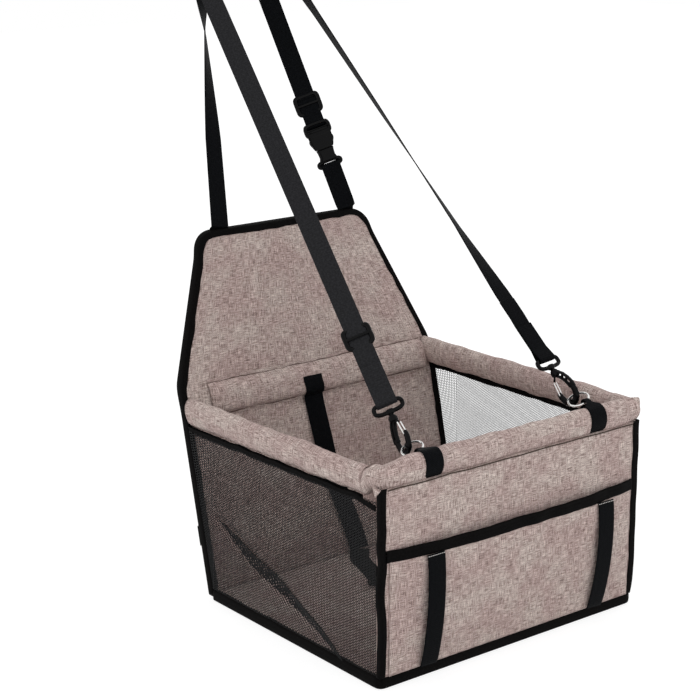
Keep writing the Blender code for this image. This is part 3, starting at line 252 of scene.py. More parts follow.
def unrolled_uv(tree):
    """The UV map that every grid has, in metres."""
    return add(tree, "ShaderNodeUVMap", uv_map="Unrolled").outputs[0]


def noise_of(tree, vector, scale, detail, dimensions="2D"):
    """Noise between 0 and 1, with the given number of waves in a metre."""
    feeds = {"Vector": vector, "Scale": scale, "Detail": detail}
    return add(tree, "ShaderNodeTexNoise", feeds, noise_dimensions=dimensions).outputs["Fac"]


def ramp_of(tree, value, stops):
    """Colours through (place, colour) pairs. The stops that a new ramp has at 0 and 1 are taken out."""
    ramp = add(tree, "ShaderNodeValToRGB", {"Fac": value})
    elements = ramp.color_ramp.elements
    for place, colour in stops:
        elements.new(place).color = colour
    elements.remove(elements[0])
    elements.remove(elements[-1])
    return ramp.outputs[0]


def bumped(tree, shader, height, strength, distance):
    """The height tilts the shader's normal."""
    bump = add(tree, "ShaderNodeBump", {"Height": height, "Strength": strength, "Distance": distance})
    tree.links.new(bump.outputs[0], shader.inputs["Normal"])


print("cloth mid tone in linear light", np.round(linear("#9A8782"), 3))

# %% [markdown]
# The cloth is a linen-look polyester: yarns of several tones, thick and thin by turns, so that short
# streaks run along the warp and the weft. Real yarns are about half a millimetre apart, which is finer
# than the render shows, so the streaks are drawn 0.6 mm wide and 11 mm long, over a plain weave of 2.4 mm.

# %% Linen-look polyester cloth
YARN_WIDTH = 0.0006
YARN_STREAK = 0.0110
WEAVE_PITCH = 0.0024
WEAVE_SHARE = 0.035
STREAK_SHARE = 0.46
GRAIN_SHARE = 0.10
GRAINS_PER_METRE = 620.0
PATCHES_PER_METRE = 24.0
YARN_TONES = ((0.37, "#766661"), (0.46, "#A29390"), (0.53, "#C2B3AE"), (0.63, "#E8DEDA"))
PATCH_TONES = ((0.36, "#F0E4E2"), (0.66, "#FFFCF8"))


def linen_look():
    """Heathered colour from two sets of streaks at right angles, a fine grain and slow tone changes."""
    made, tree, shader = finish(
        "linen-look polyester cloth, plain woven",
        "linen_cloth",
        Roughness=0.92,
        Sheen_Weight=0.06,
        Specular_IOR_Level=0.15,
    )
    uv = unrolled_uv(tree)
    streaks = []
    for scale in ((1 / YARN_WIDTH, 1 / YARN_STREAK, 1), (1 / YARN_STREAK, 1 / YARN_WIDTH, 1)):
        stretched = add(tree, "ShaderNodeMapping", {"Vector": uv, "Scale": scale}).outputs[0]
        streaks.append(noise_of(tree, stretched, 1.0, 2.0))
    grain = noise_of(tree, uv, GRAINS_PER_METRE, 1.0)
    patches = noise_of(tree, uv, PATCHES_PER_METRE, 3.0)
    both = math_of(tree, "MULTIPLY", math_of(tree, "ADD", *streaks), STREAK_SHARE)
    heather = math_of(tree, "ADD", both, math_of(tree, "MULTIPLY", grain, GRAIN_SHARE))
    waves = [sine_of(tree, uv, way, WEAVE_PITCH) for way in ((1, 0, 0), (0, 1, 0))]
    over_under = math_of(tree, "MULTIPLY", math_of(tree, "MULTIPLY", *waves), WEAVE_SHARE)
    weave = math_of(tree, "ADD", heather, over_under)
    yarns = ramp_of(tree, weave, [(place, linear(code)) for place, code in YARN_TONES])
    tone = ramp_of(tree, patches, [(place, linear(code)) for place, code in PATCH_TONES])
    feeds = {"Factor": 1.0, 6: yarns, 7: tone}
    mixed = add(tree, "ShaderNodeMix", feeds, data_type="RGBA", blend_type="MULTIPLY")
    tree.links.new(mixed.outputs[2], shader.inputs["Base Color"])
    bumped(tree, shader, weave, 0.35, 0.0006)
    return made


LINEN = linen_look()
print(LINEN.name)

# %% [markdown]
# The webbing is polypropylene, woven in ribs with a flat selvedge. The tape is thinner and softer,
# with fine cross ribs. Both are nearly black, and what shows is the way that the ribs catch the light.
# The front left strap faces the lamp in the photograph and reads lighter, so its finish is set lighter.

# %% Black webbing and binding tape
RIB_PITCH = 0.0026
CORD_PITCH = 0.0031
TAPE_RIB = 0.0019
LINT_PER_METRE = 420.0
LINT_LIFT = 1.7


def ribbed(name, slot, code, across, along, height, roughness, gloss):
    """Bump from sine ribs along the piece times sine cords across it, and a tone that changes with the lint."""
    made, tree, shader = finish(name, slot, Roughness=roughness, Specular_IOR_Level=gloss)
    uv = unrolled_uv(tree)
    ribs = sine_of(tree, uv, (0, 1, 0), along)
    cords = sine_of(tree, uv, (1, 0, 0), across)
    weave = math_of(tree, "ADD", math_of(tree, "MULTIPLY", ribs, cords), math_of(tree, "MULTIPLY", ribs, 0.5))
    dark = linear(code)
    light = (*(LINT_LIFT * np.array(dark[:3])), 1.0)
    lint = ramp_of(tree, noise_of(tree, uv, LINT_PER_METRE, 3.0), ((0.35, dark), (0.7, light)))
    tree.links.new(lint, shader.inputs["Base Color"])
    bumped(tree, shader, weave, 0.5, height)
    return made


WEAVE = (CORD_PITCH, RIB_PITCH, 0.00025)
WEBBING = ribbed("polypropylene webbing, ribbed weave", "black_webbing", "#0B0C0E", *WEAVE, 0.5, 0.02)
STRAP = ribbed("polypropylene webbing, straps in the light", "black_webbing", "#1F1F21", *WEAVE, 0.45, 0.07)
TAPE = ribbed("polyester binding tape, cross ribbed", "black_tape", "#0A0909", 0.0050, TAPE_RIB, 0.00018, 0.65, 0.03)
print(WEBBING.name, "and", STRAP.name, "and", TAPE.name)

# %% [markdown]
# The side mesh is a warp-knitted net with six-sided holes. A real hole pattern with geometry would take
# millions of faces, so the holes are cut by the shader: three sets of cosine waves, 60 degrees apart,
# add up to a honeycomb of peaks, and the surface is clear where the sum is high. The real holes look
# about 1 mm apart. They are drawn at 3.2 mm on the near side, and at 2.3 mm on the far side, which is
# seen from further off, so that the render can show them. Both sides are one black net: the far side's
# lighter grey is painted light.

# %% Knitted mesh with clear holes
HOLE_PITCH = 0.0032
FAR_PITCH = 0.0023


def knitted_mesh(name, pitch, code, clear, shut):
    """Alpha is 0 where cos a + cos b + cos c, along three ways 60 degrees apart, is above a limit."""
    made, tree, shader = finish(name, "black_mesh", Roughness=0.7, Specular_IOR_Level=0.2)
    shader.inputs["Base Color"].default_value = linear(code)
    uv = unrolled_uv(tree)
    total = 0.0
    for turn in (0, 60, 120):
        way = (math.cos(math.radians(turn)), math.sin(math.radians(turn)), 0)
        scaled = [c * 4 * math.pi / (math.sqrt(3) * pitch) for c in way]
        dot = add(tree, "ShaderNodeVectorMath", {0: uv, 1: scaled}, operation="DOT_PRODUCT")
        wave = math_of(tree, "COSINE", dot.outputs["Value"])
        total = math_of(tree, "ADD", wave, total)
    solid = add(tree, "ShaderNodeMapRange", {"Value": total, "From Min": clear, "From Max": shut}).outputs[0]
    tree.links.new(solid, shader.inputs["Alpha"])
    bumped(tree, shader, solid, 0.4, 0.0003)
    return made


MESH = knitted_mesh("polyester mesh, warp knitted, near side", HOLE_PITCH, "#1F1F20", -0.30, -0.55)
# painted light: the far net's threads are a lighter grey than the near net's, though both are the same black net
FAR_MESH_PAINTED_LIGHTER = knitted_mesh("polyester mesh, warp knitted, far side, painted lighter", FAR_PITCH, "#3A3A3D", -0.5, -0.95)
PLEAT_MESH = knitted_mesh("polyester mesh, doubled in its pleat", HOLE_PITCH, "#1A1A1B", 1.3, 0.8)
print(MESH.name, FAR_MESH_PAINTED_LIGHTER.name, PLEAT_MESH.name)

# %% [markdown]
# The hard pieces: acetal mouldings with a fine spark grain, nickel-plated steel wire for rings and
# gates, hollow board, PVC tube, foam and the white thread that shows at the pocket straps.

# %% Mouldings, wire, boards, foam and thread
GLOSS_CHANGE = 0.06


def grained(name, slot, code, roughness, size, height, **sockets):
    """One colour with a fine grain: noise of the given size drives a bump and a small change of gloss."""
    made, tree, shader = finish(name, slot, **sockets)
    shader.inputs["Base Color"].default_value = linear(code)
    place = add(tree, "ShaderNodeTexCoord").outputs["Object"]
    noise = noise_of(tree, place, 1 / size, 3.0, "3D")
    low, high = roughness - GLOSS_CHANGE, roughness + GLOSS_CHANGE
    gloss = add(tree, "ShaderNodeMapRange", {"Value": noise, "To Min": low, "To Max": high})
    tree.links.new(gloss.outputs[0], shader.inputs["Roughness"])
    bumped(tree, shader, noise, 0.3, height)
    return made


SPARKED = (0.15, 0.0012, 0.00004)
ACETAL = grained("acetal moulding, spark grained", "black_plastic", "#030304", *SPARKED, Specular_IOR_Level=0.13)
NICKEL = grained("steel wire, nickel plated", "steel", "#F4F3F1", 0.13, 0.004, 0.00002, Metallic=1.0)
BOARD = grained("polypropylene board, extruded", "board", "#39383A", 0.6, 0.003, 0.0001)
PVC = grained("PVC tube, extruded", "tube", "#CFCDC6", 0.4, 0.002, 0.00005)
FOAM = grained("polyurethane foam, sliced", "foam", "#DDD6C4", 0.95, 0.0016, 0.0006)
THREAD = grained("polyester sewing thread, bonded", "linen_cloth", "#D8D4D0", 0.7, 0.0006, 0.0001)
for word, stuff in (("board", BOARD), ("tube", PVC)):
    for key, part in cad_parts.items():
        if key.endswith(word):
            part.data.materials.clear()
            part.data.materials.append(stuff)
print("boards and tubes keep their CAD shape")

# %% [markdown]
# Dressing fastens a piece to the frame: it gives the piece its finish and its record slot, hides the CAD
# solids that it stands for and hangs it on the body that it moves with.

# %% Dressing


def dress(piece, stuff, body, *nodes):
    """Finish, slot, what it stands for, and what it rides on."""
    piece.data.materials.append(stuff)
    if nodes:
        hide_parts(*nodes)
    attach(piece, body)
    print(f"{piece.name}: {len(piece.data.polygons)} faces on {body}")
    return piece


# %% [markdown]
# Sizes shared by the pieces, in metres. They are those of the frame.

# %% Sizes of the seat
WIDTH = 0.400
FRONT_Y = -0.1619
TAPE_HEIGHT = 0.0140
FOOT_Z = 0.0143
BACK_FOOT = (0.1612, 0.0040)
BACK_RIM = (0.2134, 0.2239)
BACK_TOP = (0.2787, 0.4320)
BACK_HALF = 0.1990
BACK_TOP_HALF = 0.1375
BACK_TAPER_Z = 0.2560
BACK_CORNER_R = 0.028
BACK_DEPTH = 0.0092
TAPE_REACH = 0.0110
CLOTH = 0.0011
BASE_TOP_Z = 0.0106
SLEEVE_DEPTH = 0.0210
FRONT_SLEEVE_Z = 0.2460
FRONT_SLEEVE_HEIGHT = 0.0300
SIDE_SLEEVE_HEIGHT = 0.0320
RAIL_REAR_Z = {-1: 0.2277, 1: 0.2425}
RAIL_FRONT_Z = {-1: 0.2340, 1: 0.2450}
CORNER_SLACK = 0.0135
SEAT_GAP = 0.0003
SKIN = 0.0006
LOWER_LEAN = (BACK_RIM[0] - BACK_FOOT[0]) / (BACK_RIM[1] - BACK_FOOT[1])
UPPER_LEAN = (BACK_TOP[0] - BACK_RIM[0]) / (BACK_TOP[1] - BACK_RIM[1])


def back_y(z):
    """Inner face of the backrest: straight from foot to rim and from rim to top, the bend spread over 30 mm."""
    z = np.asarray(z, float)
    low = BACK_RIM[0] + (z - BACK_RIM[1]) * LOWER_LEAN
    high = BACK_RIM[0] + (z - BACK_RIM[1]) * UPPER_LEAN
    share = np.clip((z - BACK_RIM[1]) / 0.03 + 0.5, 0, 1)
    return low + (high - low) * share


BAND_Z = 0.2380
BAND_HALF = 0.01825
BAND_DEPTH = 0.0125
BAND_ENDS = (-0.1600, 0.1790)


def back_half(z):
    """Half the backrest's width: straight, then tapering, then a quarter circle at the top corner."""
    taper = (BACK_HALF - BACK_TOP_HALF) / (BACK_TOP[1] - BACK_CORNER_R - BACK_TAPER_Z)
    side = BACK_HALF - taper * np.clip(z - BACK_TAPER_Z, 0, None)
    up = np.clip((z - (BACK_TOP[1] - BACK_CORNER_R)) / BACK_CORNER_R, 0, 1)
    return side - BACK_CORNER_R * (1 - np.sqrt(1 - up**2)) + taper * BACK_CORNER_R * up


FOLD_DEPTH = 0.0052


def lining_y(x, z):
    """The padded lining: the inner face, puffed 2.2 mm between its edges and drawn in along the band's seams,
    with two soft folds that fade out downwards, each exp(-(x / w)^2)."""
    x, z = np.asarray(x, float), np.asarray(z, float)
    edge = np.clip(1 - (np.abs(x) / back_half(z)) ** 6, 0, 1) * np.clip((BACK_TOP[1] - z) / 0.03, 0, 1) ** 0.5
    edge = edge * np.clip((z - BASE_TOP_Z) / 0.03, 0, 1) ** 0.5
    places = np.stack([x, z * 0.6], axis=-1)
    puff = 0.0022 + 0.0008 * ripples(places, 0.11, 3) + 0.00022 * ripples(places, 0.03, 4)
    seams = bump_at(z, BAND_Z + BAND_HALF, 0.006) + bump_at(z, BAND_Z - BAND_HALF, 0.006)
    pull = seams * (0.0016 + 0.0005 * ripples(places, 0.016, 5))
    left_fold = bump_at(x, 0.10 * (z - 0.40) - 0.052, 0.016)
    mid_fold = bump_at(x, 0.06 * (z - 0.40) - 0.010, 0.020)
    fold = FOLD_DEPTH * (left_fold + 0.7 * mid_fold) * np.clip((z - 0.27) / 0.09, 0, 1)
    return back_y(z) - edge * (puff + fold) + pull * edge


print("backrest leans", round(float(back_y(0.42) - back_y(0.05)), 3), "m over 0.37 m")

# %% [markdown]
# The backrest is a soft panel: lining, foam, board and cover, held together by the tape round its
# edge. The lining is one grid from side to side and from foot to top. Cloth simulation could puff it,
# but the pad is thin and quilted flat by its board, so a formula with a small crown is closer.

# %% Backrest lining, foam and cover


def panel(y_of, inset, foot, top, cols=96, rows=120):
    """x = u times the half width at that height, z rises faster at first and slower towards the rounded top."""
    u, v = grid(-1, 1, cols, 0, 1, rows)
    z = foot + (top - inset - foot) * np.sin(v * math.pi / 2) ** 0.9
    x = u * (back_half(np.minimum(z + inset, BACK_TOP[1])) - inset)
    return np.stack([x, y_of(x, z), z], axis=-1)


lining_grid = panel(lambda x, z: lining_y(x, z) + CLOTH / 2, 0.0015, BACK_FOOT[1], BACK_TOP[1])
backrest_lining = dress(cloth("backrest_lining", lining_grid, CLOTH), LINEN, "backrest", "back_lining")


def rear_y(x, z):
    """The rear cover lies flat on its board, with a slack of under a millimetre."""
    return back_y(z) + BACK_DEPTH - CLOTH / 2 + 0.0005 + 0.0004 * ripples(np.stack([x, z], axis=-1), 0.09, 9)


cover_grid = panel(rear_y, 0.0015, BACK_FOOT[1], BACK_TOP[1])
backrest_cover = dress(cloth("backrest_cover", cover_grid, CLOTH), LINEN, "backrest", "back_cover")


def foam_panel(name, low, high, inset, foot):
    """The foam's middle surface, thickened to reach from one depth behind the lining to the other."""
    u, v = grid(-1, 1, 40, 0, 1, 60)
    z = foot + (BACK_TOP[1] - inset - foot) * v
    x = u * (back_half(np.minimum(z + inset, BACK_TOP[1])) - inset)
    y = back_y(z) + (low + high) / 2
    return walled(surface(name, np.stack([x, y, z], axis=-1)), high - low, "foam")


foam = foam_panel("backrest_foam", 0.0018, 0.0040, 0.0125, 0.008)
backrest_foam = dress(foam, FOAM, "backrest", "back_foam")

# %% [markdown]
# Binding tape is folded over an edge and sewn through. Its section is a U: a leg on the front, a round
# turn over the edge and a leg behind. One function carries such a section along any edge.

# %% Tape folded over an edge


def folded(reach_front, reach_rear, depth, bulge, turns=11, steps=5):
    """Outline of a fold: (out, deep) pairs down the front leg, round a half oval and up the rear leg."""
    turn = np.linspace(-math.pi / 2, math.pi / 2, turns)
    arc = np.column_stack([bulge * np.cos(turn), depth / 2 + depth / 2 * np.sin(turn)])
    front = np.column_stack([np.linspace(-reach_front, 0, steps + 1)[:-1], np.zeros(steps)])
    rear = np.column_stack([np.linspace(0, -reach_rear, steps + 1)[1:], np.full(steps, depth)])
    front[0, 1] += 0.0004
    rear[-1, 1] -= 0.0004
    return np.vstack([front, arc, rear])


def resampled(points, count):
    """The same path with its points evenly spaced."""
    reach = np.append(0, np.cumsum(np.linalg.norm(np.diff(points, axis=0), axis=1)))
    at = np.linspace(0, reach[-1], count)
    return np.column_stack([np.interp(at, reach, points[:, k]) for k in range(points.shape[1])])


def softened(points, rounds):
    """Each inner point moved to the mean of its neighbours and itself, a few times over."""
    points = points.copy()
    for _ in range(rounds):
        points[1:-1] = (points[:-2] + 2 * points[1:-1] + points[2:]) / 4
    return points


def closed_path(loop, count):
    """The loop's points evenly spaced, the first one not repeated at the end."""
    return resampled(np.vstack([loop, loop[:1]]), count + 1)[:-1]


def outward_from(path):
    """Directions in the plane, square to the path, on its outer side."""
    step = np.gradient(path, axis=0)
    return unit(np.column_stack([-step[:, 1], step[:, 0]]))


corner = np.linspace(0, math.pi / 2, 14)
heights = np.concatenate([np.linspace(0.0050, 0.40, 40), BACK_TOP[1] - BACK_CORNER_R * (1 - np.sin(corner))])
half_edge = np.column_stack([back_half(heights), heights])
edge = np.vstack([half_edge, half_edge[::-1] * [-1, 1]])[::-1]
edge = softened(resampled(edge, 300), 3)
outward = outward_from(edge)
section = folded(0.0064, TAPE_REACH, BACK_DEPTH + 0.0012, 0.0010)
wobble = 0.0005 * ripples(edge, 0.035, 12)[:, None] * (section[:, 0] < -0.005)
flat = edge[:, None, :] + outward[:, None, :] * (section[:, 0] - 0.0012 + wobble)[..., None]
front_leg = lining_y(flat[..., 0], flat[..., 1]) - 0.0007
rear_leg = back_y(flat[..., 1]) + BACK_DEPTH + 0.0008
share = section[:, 1] / section[:, 1].max()
tape_grid = np.stack([flat[..., 0], front_leg + (rear_leg - front_leg) * share[None, :], flat[..., 1]], axis=-1)
backrest_tape = dress(cloth("backrest_tape", tape_grid, 0.0011), TAPE, "backrest", "back_tape")

# %% [markdown]
# Across the inside of the backrest runs a tunnel of the same cloth, over a thin tube. It is sewn flat
# above and below, and gathered at its left end, where small puckers run out to the tape.

# %% Tunnel across the backrest
BAND_COLS = 200


def tunnel_depth(x, z):
    """A flattened half oval that stands off the lining, nothing beyond its seams, drawn in at its left end."""
    across = np.clip((z - BAND_Z) / BAND_HALF, -1, 1)
    bell = np.sqrt(np.clip(1 - np.abs(across) ** 3, 0, 1))
    gather = np.clip((x - BAND_ENDS[0]) / 0.012, 0, 1) ** 0.7
    places = np.stack([x, z * 0.7], axis=-1)
    return (BAND_DEPTH - 0.003) * (0.08 + 0.92 * gather) * (1 + 0.04 * ripples(places, 0.06, 21)) * bell


def tunnel():
    """For each x, a half oval of the band's depth, with flat 4 mm seam allowances above and below it."""
    x, t = grid(BAND_ENDS[0], BAND_ENDS[1], BAND_COLS, -1.22, 1.22, 46)
    z = BAND_Z + BAND_HALF * t
    places = np.stack([x, z * 0.7], axis=-1)
    flat = np.clip(np.abs(t) - 0.6, 0, 0.4) / 0.4 * np.clip(1.25 - np.abs(t), 0, 1)
    pucker = 0.0006 * ripples(places * [1, 0.25], 0.014, 22) * flat
    end_pucker = 0.0006 * np.sin(z * 2 * math.pi / 0.009) * bump_at(x, BAND_ENDS[0], 0.016)
    y = lining_y(x, z) - 0.0012 - tunnel_depth(x, z) + pucker + end_pucker * np.clip(1.25 - np.abs(t), 0, 1)
    return np.stack([x, y, z], axis=-1)


tunnel_grid = tunnel()
backrest_tunnel = dress(cloth("backrest_tunnel", tunnel_grid, CLOTH), LINEN, "backrest", "back_band")

# %% [markdown]
# The base is a board with foam on top, cloth above and below, and the same tape round its front and
# sides. The tape is 14 mm high, so it makes the strong black line at the foot of the seat.

# %% Base cloths and foam
BASE_HALF = 0.1985
BASE_FRONT_Y = -0.1604
BASE_REAR_Y = 0.1606


def floor_grid(z, half, front, seed, slack):
    """A rectangle with front corners rounded, lifted by ripples of a fraction of a millimetre."""
    u, v = grid(-1, 1, 80, 0, 1, 64)
    y = front + (BASE_REAR_Y - front) * v
    near = np.clip((front + 0.012 - y) / 0.012, 0, 1)
    x = u * (half - 0.012 * (1 - np.sqrt(1 - near**2)))
    inside = np.clip((1 - np.abs(u)) * 8, 0, 1) * np.clip(v * 8, 0, 1) * np.clip((1 - v) * 8, 0, 1)
    return np.stack([x, y, z + slack * ripples(np.stack([x, y], axis=-1), 0.07, seed) * inside], axis=-1)


floor_cloth = floor_grid(BASE_TOP_Z - CLOTH / 2, BASE_HALF, BASE_FRONT_Y, 31, 0.00025)
base_lining = dress(cloth("base_floor_cloth", floor_cloth, CLOTH), LINEN, "base", "base_lining")
under_cloth = floor_grid(CLOTH / 2, BASE_HALF - 0.011, BASE_FRONT_Y + 0.011, 32, 0.0)
base_under = dress(cloth("base_under_cloth", under_cloth, CLOTH), LINEN, "base", "base_underside")
base_pad = surface("base_pad", floor_grid(0.00745, BASE_HALF - 0.001, BASE_FRONT_Y + 0.001, 33, 0.0))
dress(walled(base_pad, 0.0030, "foam"), FOAM, "base", "base_foam")

# %% [markdown]
# The base tape goes round the front and both sides. Its inner leg lies on the floor cloth and is shorter
# than the one underneath, as it is when tape is folded a little off its middle.

# %% Base tape
BASE_CORNER_R = 0.0080
corner = np.linspace(0, math.pi / 2, 10)
corner_x = WIDTH / 2 - BASE_CORNER_R * (1 - np.cos(corner))
corner_y = FRONT_Y + BASE_CORNER_R * (1 - np.sin(corner))
right_corner = np.column_stack([corner_x, corner_y])
base_edge = np.vstack([[WIDTH / 2, BASE_REAR_Y], right_corner, right_corner[::-1] * [-1, 1], [-WIDTH / 2, BASE_REAR_Y]])
base_edge = softened(resampled(base_edge, 320), 2)
section = folded(TAPE_REACH, 0.0065, TAPE_HEIGHT - 0.0012, 0.0012)
upper = section[:, 1] > TAPE_HEIGHT / 2
rise = 0.0006 + section[:, 1] - np.clip(-section[:, 0] - 0.001, 0, 1) * 0.26 * upper
wobble = 0.00035 * ripples(base_edge, 0.04, 34)
flat = base_edge[:, None, :] + outward_from(base_edge)[:, None, :] * (section[None, :, :1] - 0.0019)
base_tape_grid = np.concatenate([flat, (rise + wobble[:, None] * upper)[..., None]], axis=-1)
base_binding = dress(cloth("base_binding", base_tape_grid, 0.0011), TAPE, "base", "base_tape")

# %% [markdown]
# The front has an outer cloth, a board behind it, an inner lining and a flat pocket outside. The pocket
# is as wide as in the frame and stands off most near its mouth, whose line sags by 1.5 mm.

# %% Front panel, lining and pocket
PANEL_HALF = 0.1968
PANEL_TOP_Z = 0.2345
SEAM_START_Z = 0.2307
POCKET_HALF = 0.1872
MOUTH_Z = 0.1620
MOUTH_SAG = 0.0015
DRAWN_IN = 0.0080
POCKET_BULGE = 0.0085


def panel_y(x, z):
    """The front cloth puffs out 1.2 mm between its edges, and is drawn in by 8 mm where it meets the sleeve."""
    x, z = np.asarray(x, float), np.asarray(z, float)
    places = np.stack([x, z], axis=-1)
    share = np.clip((z - FOOT_Z) / (PANEL_TOP_Z - FOOT_Z), 0, 1)
    crown = np.clip(1 - (x / PANEL_HALF) ** 6, 0, 1) * np.sin(math.pi * share) ** 0.7
    drawn = DRAWN_IN * np.clip((z - SEAM_START_Z) / (PANEL_TOP_Z - SEAM_START_Z), 0, 1)
    puff = 0.0012 + 0.0006 * ripples(places, 0.10, 41) + 0.0002 * ripples(places, 0.03, 42)
    return FRONT_Y + 0.0004 + drawn - crown * puff


def mouth_z(x):
    """The mouth is highest at its ends and sags as a parabola."""
    return MOUTH_Z - MOUTH_SAG * (1 - (x / POCKET_HALF) ** 2)


def pocket_out(x, z):
    """The pocket stands off by up to 8.5 mm, fullest at the mouth and nothing at its sides and foot."""
    across = np.clip(1 - (x / POCKET_HALF) ** 4, 0, 1)
    up = np.clip((z - FOOT_Z) / (MOUTH_Z - FOOT_Z), 0, 1)
    return SEAT_GAP + POCKET_BULGE * across * np.sin(math.pi / 2 * up) ** 0.8


def pocket_y(x, z):
    """The pocket's outer face: the panel, less how far it stands off, less its own soft ripples."""
    places = np.stack([x, z], axis=-1)
    up = np.clip((z - FOOT_Z) / 0.03, 0, 1)
    side = np.clip((POCKET_HALF - np.abs(x)) / 0.02, 0, 1)
    soft = up * side * 0.0007 * ripples(places * [1, 0.7], 0.06, 44)
    return np.minimum(panel_y(x, z), FRONT_Y) - pocket_out(x, z) - CLOTH - soft


x, z = grid(-PANEL_HALF, PANEL_HALF, 110, FOOT_Z, PANEL_TOP_Z, 64)
front_grid = np.stack([x, panel_y(x, z) + CLOTH / 2, z], axis=-1)
front_cloth = dress(cloth("front_cloth", front_grid, CLOTH), LINEN, "front", "front_panel")
inner_y = FRONT_Y + 0.0053 + 0.0004 * ripples(np.stack([x, z], axis=-1), 0.08, 43)
inner_grid = np.stack([x, inner_y, z], axis=-1)
front_inner = dress(cloth("front_inner_cloth", inner_grid, CLOTH), LINEN, "front", "front_lining")

u, v = grid(-1, 1, 110, 0, 1, 54)
pocket_x = POCKET_HALF * u
pocket_z = FOOT_Z + (mouth_z(pocket_x) - FOOT_Z) * v
pocket_grid = np.stack([pocket_x, pocket_y(pocket_x, pocket_z) + CLOTH / 2, pocket_z], axis=-1)
pocket = dress(cloth("pocket_cloth", pocket_grid, CLOTH), LINEN, "front", "front_pocket")

# %% [markdown]
# Three tapes finish the front: one along the pocket's mouth and one down each side. They are folded
# over the cloth's raw edge, which is how a soft panel is closed without a hem.

# %% Pocket mouth tape and upright edge tapes
MOUTH_TAPE = 0.0120
EDGE_REACH = {-1: 0.0058, 1: 0.0085}
EDGE_DEPTH = 0.0082
mouth_x = np.linspace(-POCKET_HALF - 0.0050, POCKET_HALF + 0.0015, 160)
section = folded(MOUTH_TAPE, 0.003, 0.0024, 0.0010)
z = mouth_z(mouth_x)[:, None] + section[None, :, 0] - 0.0006
y = pocket_y(mouth_x[:, None] + 0 * z, np.minimum(z, mouth_z(mouth_x)[:, None])) - 0.0007 + section[None, :, 1]
mouth_grid = np.stack([mouth_x[:, None] + 0 * z, y, z], axis=-1)
mouth_tape = dress(cloth("pocket_mouth_tape", mouth_grid, 0.0010), TAPE, "front", "pocket_tape")


def edge_tape(side, word):
    """A fold over the side edge of the front panel, swelling and pinching a little along its height."""
    z = np.linspace(FOOT_Z, PANEL_TOP_Z, 90)
    section = folded(EDGE_REACH[side], TAPE_REACH, EDGE_DEPTH, 0.0012)
    swell = 0.0007 * ripples_along(z, 0.045, 50 + side)
    tuck = 0.0042 * np.clip((0.040 - z) / 0.026, 0, 1) ** 2 * (side > 0)
    x = side * (WIDTH / 2 - 0.0022 - tuck[:, None] + section[None, :, 0] + swell[:, None] * 0.8)
    front = np.minimum(panel_y(x, z[:, None] + 0 * x), FRONT_Y) - 0.0008
    y = front + section[None, :, 1] / EDGE_DEPTH * 0.0079 + swell[:, None] * 0.3
    made = cloth(f"front_edge_tape_{word}_fold", np.stack([x, y, z[:, None] + 0 * x], axis=-1), 0.0011)
    return dress(made, TAPE, "front", f"front_edge_tape_{word}")


edge_left = edge_tape(-1, "left")
edge_right = edge_tape(1, "right")

# %% [markdown]
# Webbing is a flat band with soft edges. Its section is a flat superellipse, carried along a path with
# a side and a face direction at each point. The UV runs across the width and along the length, so the
# ribs follow every bend and twist.

# %% Webbing along a path
WEB_WIDTH = 0.0250
WEB_THICK = 0.0015


def web_section(width, thick, count=28):
    """x = half width times cos to the power 0.3, y = half thickness times sin to the power 0.5, signs kept."""
    c, s = circle(count)
    return np.column_stack([width / 2 * rounded(c, 0.3), thick / 2 * rounded(s, 0.5)])


def webbing(name, path, sides, faces, width=WEB_WIDTH, thick=WEB_THICK, closed=False):
    """Point + a times side + b times face, for every (a, b) of the section and every point of the path."""
    section = web_section(width, thick)
    path, sides, faces = (np.asarray(a, float) for a in (path, sides, faces))
    if closed:
        path, sides, faces = (np.vstack([a, a[:1]]) for a in (path, sides, faces))
    a, b = section[:, 0], section[:, 1]
    points = path[:, None] + sides[:, None] * a[None, :, None] + faces[:, None] * b[None, :, None]
    along = np.append(0, np.cumsum(np.linalg.norm(np.diff(path, axis=0), axis=1)))
    uv = np.stack(np.meshgrid(np.append(a, a[0]), along), axis=-1)
    return surface(name, points, uv=uv, wrap=True, caps=not closed, crease=60)


def framed(path, side):
    """Side directions kept square to the path, and the face directions square to both."""
    along = unit(np.gradient(path, axis=0))
    side = np.broadcast_to(side, path.shape)
    across = unit(side - along * (side * along).sum(-1, keepdims=True))
    return across, np.cross(along, across)


def smooth_path(points, steps):
    """Catmull-Rom: each span is a cubic through its ends, with slopes from the neighbours."""
    points = np.asarray(points, float)
    ends = np.vstack([2 * points[0] - points[1], points, 2 * points[-1] - points[-2]])
    t = np.arange(steps)[:, None] / steps
    a, b, c, d = (ends[i : len(points) - 1 + i, None] for i in range(4))
    spans = 0.5 * (2 * b + (c - a) * t + (2 * a - 5 * b + 4 * c - d) * t**2 + (3 * b - a - 3 * c + d) * t**3)
    return np.vstack([spans.reshape(-1, points.shape[1]), points[-1]])


# %% [markdown]
# Two loose webbings run down the pocket. Each is sewn under the mouth tape with a row of pale stitches,
# stands a little proud and swings sideways towards its foot.

# %% Pocket straps and their stitches
STRAP_X = {-1: -0.1290, 1: 0.1360}
STRAP_DRIFT = {-1: -0.0035, 1: -0.0075}


def pocket_strap(side, word):
    """The path follows the pocket, 4.5 mm proud halfway, and drifts by a cubic share of its drop."""
    share = np.linspace(0, 1, 60)
    top = mouth_z(abs(STRAP_X[side])) - MOUTH_TAPE - 0.0003
    z = top + (FOOT_Z - top) * share
    x = STRAP_X[side] + STRAP_DRIFT[side] * share**2.2
    away = np.maximum(pocket_out(x - WEB_WIDTH / 2, z), pocket_out(x + WEB_WIDTH / 2, z))
    proud = 0.0045 * np.sin(math.pi * share) ** 0.6
    y = FRONT_Y - away - 0.0032 - proud
    path = np.column_stack([x, y, z])
    strap = webbing(f"pocket_strap_{word}_web", path, *framed(path, X_AXIS))
    return dress(strap, WEBBING, "front", f"pocket_strap_{word}"), path[0]


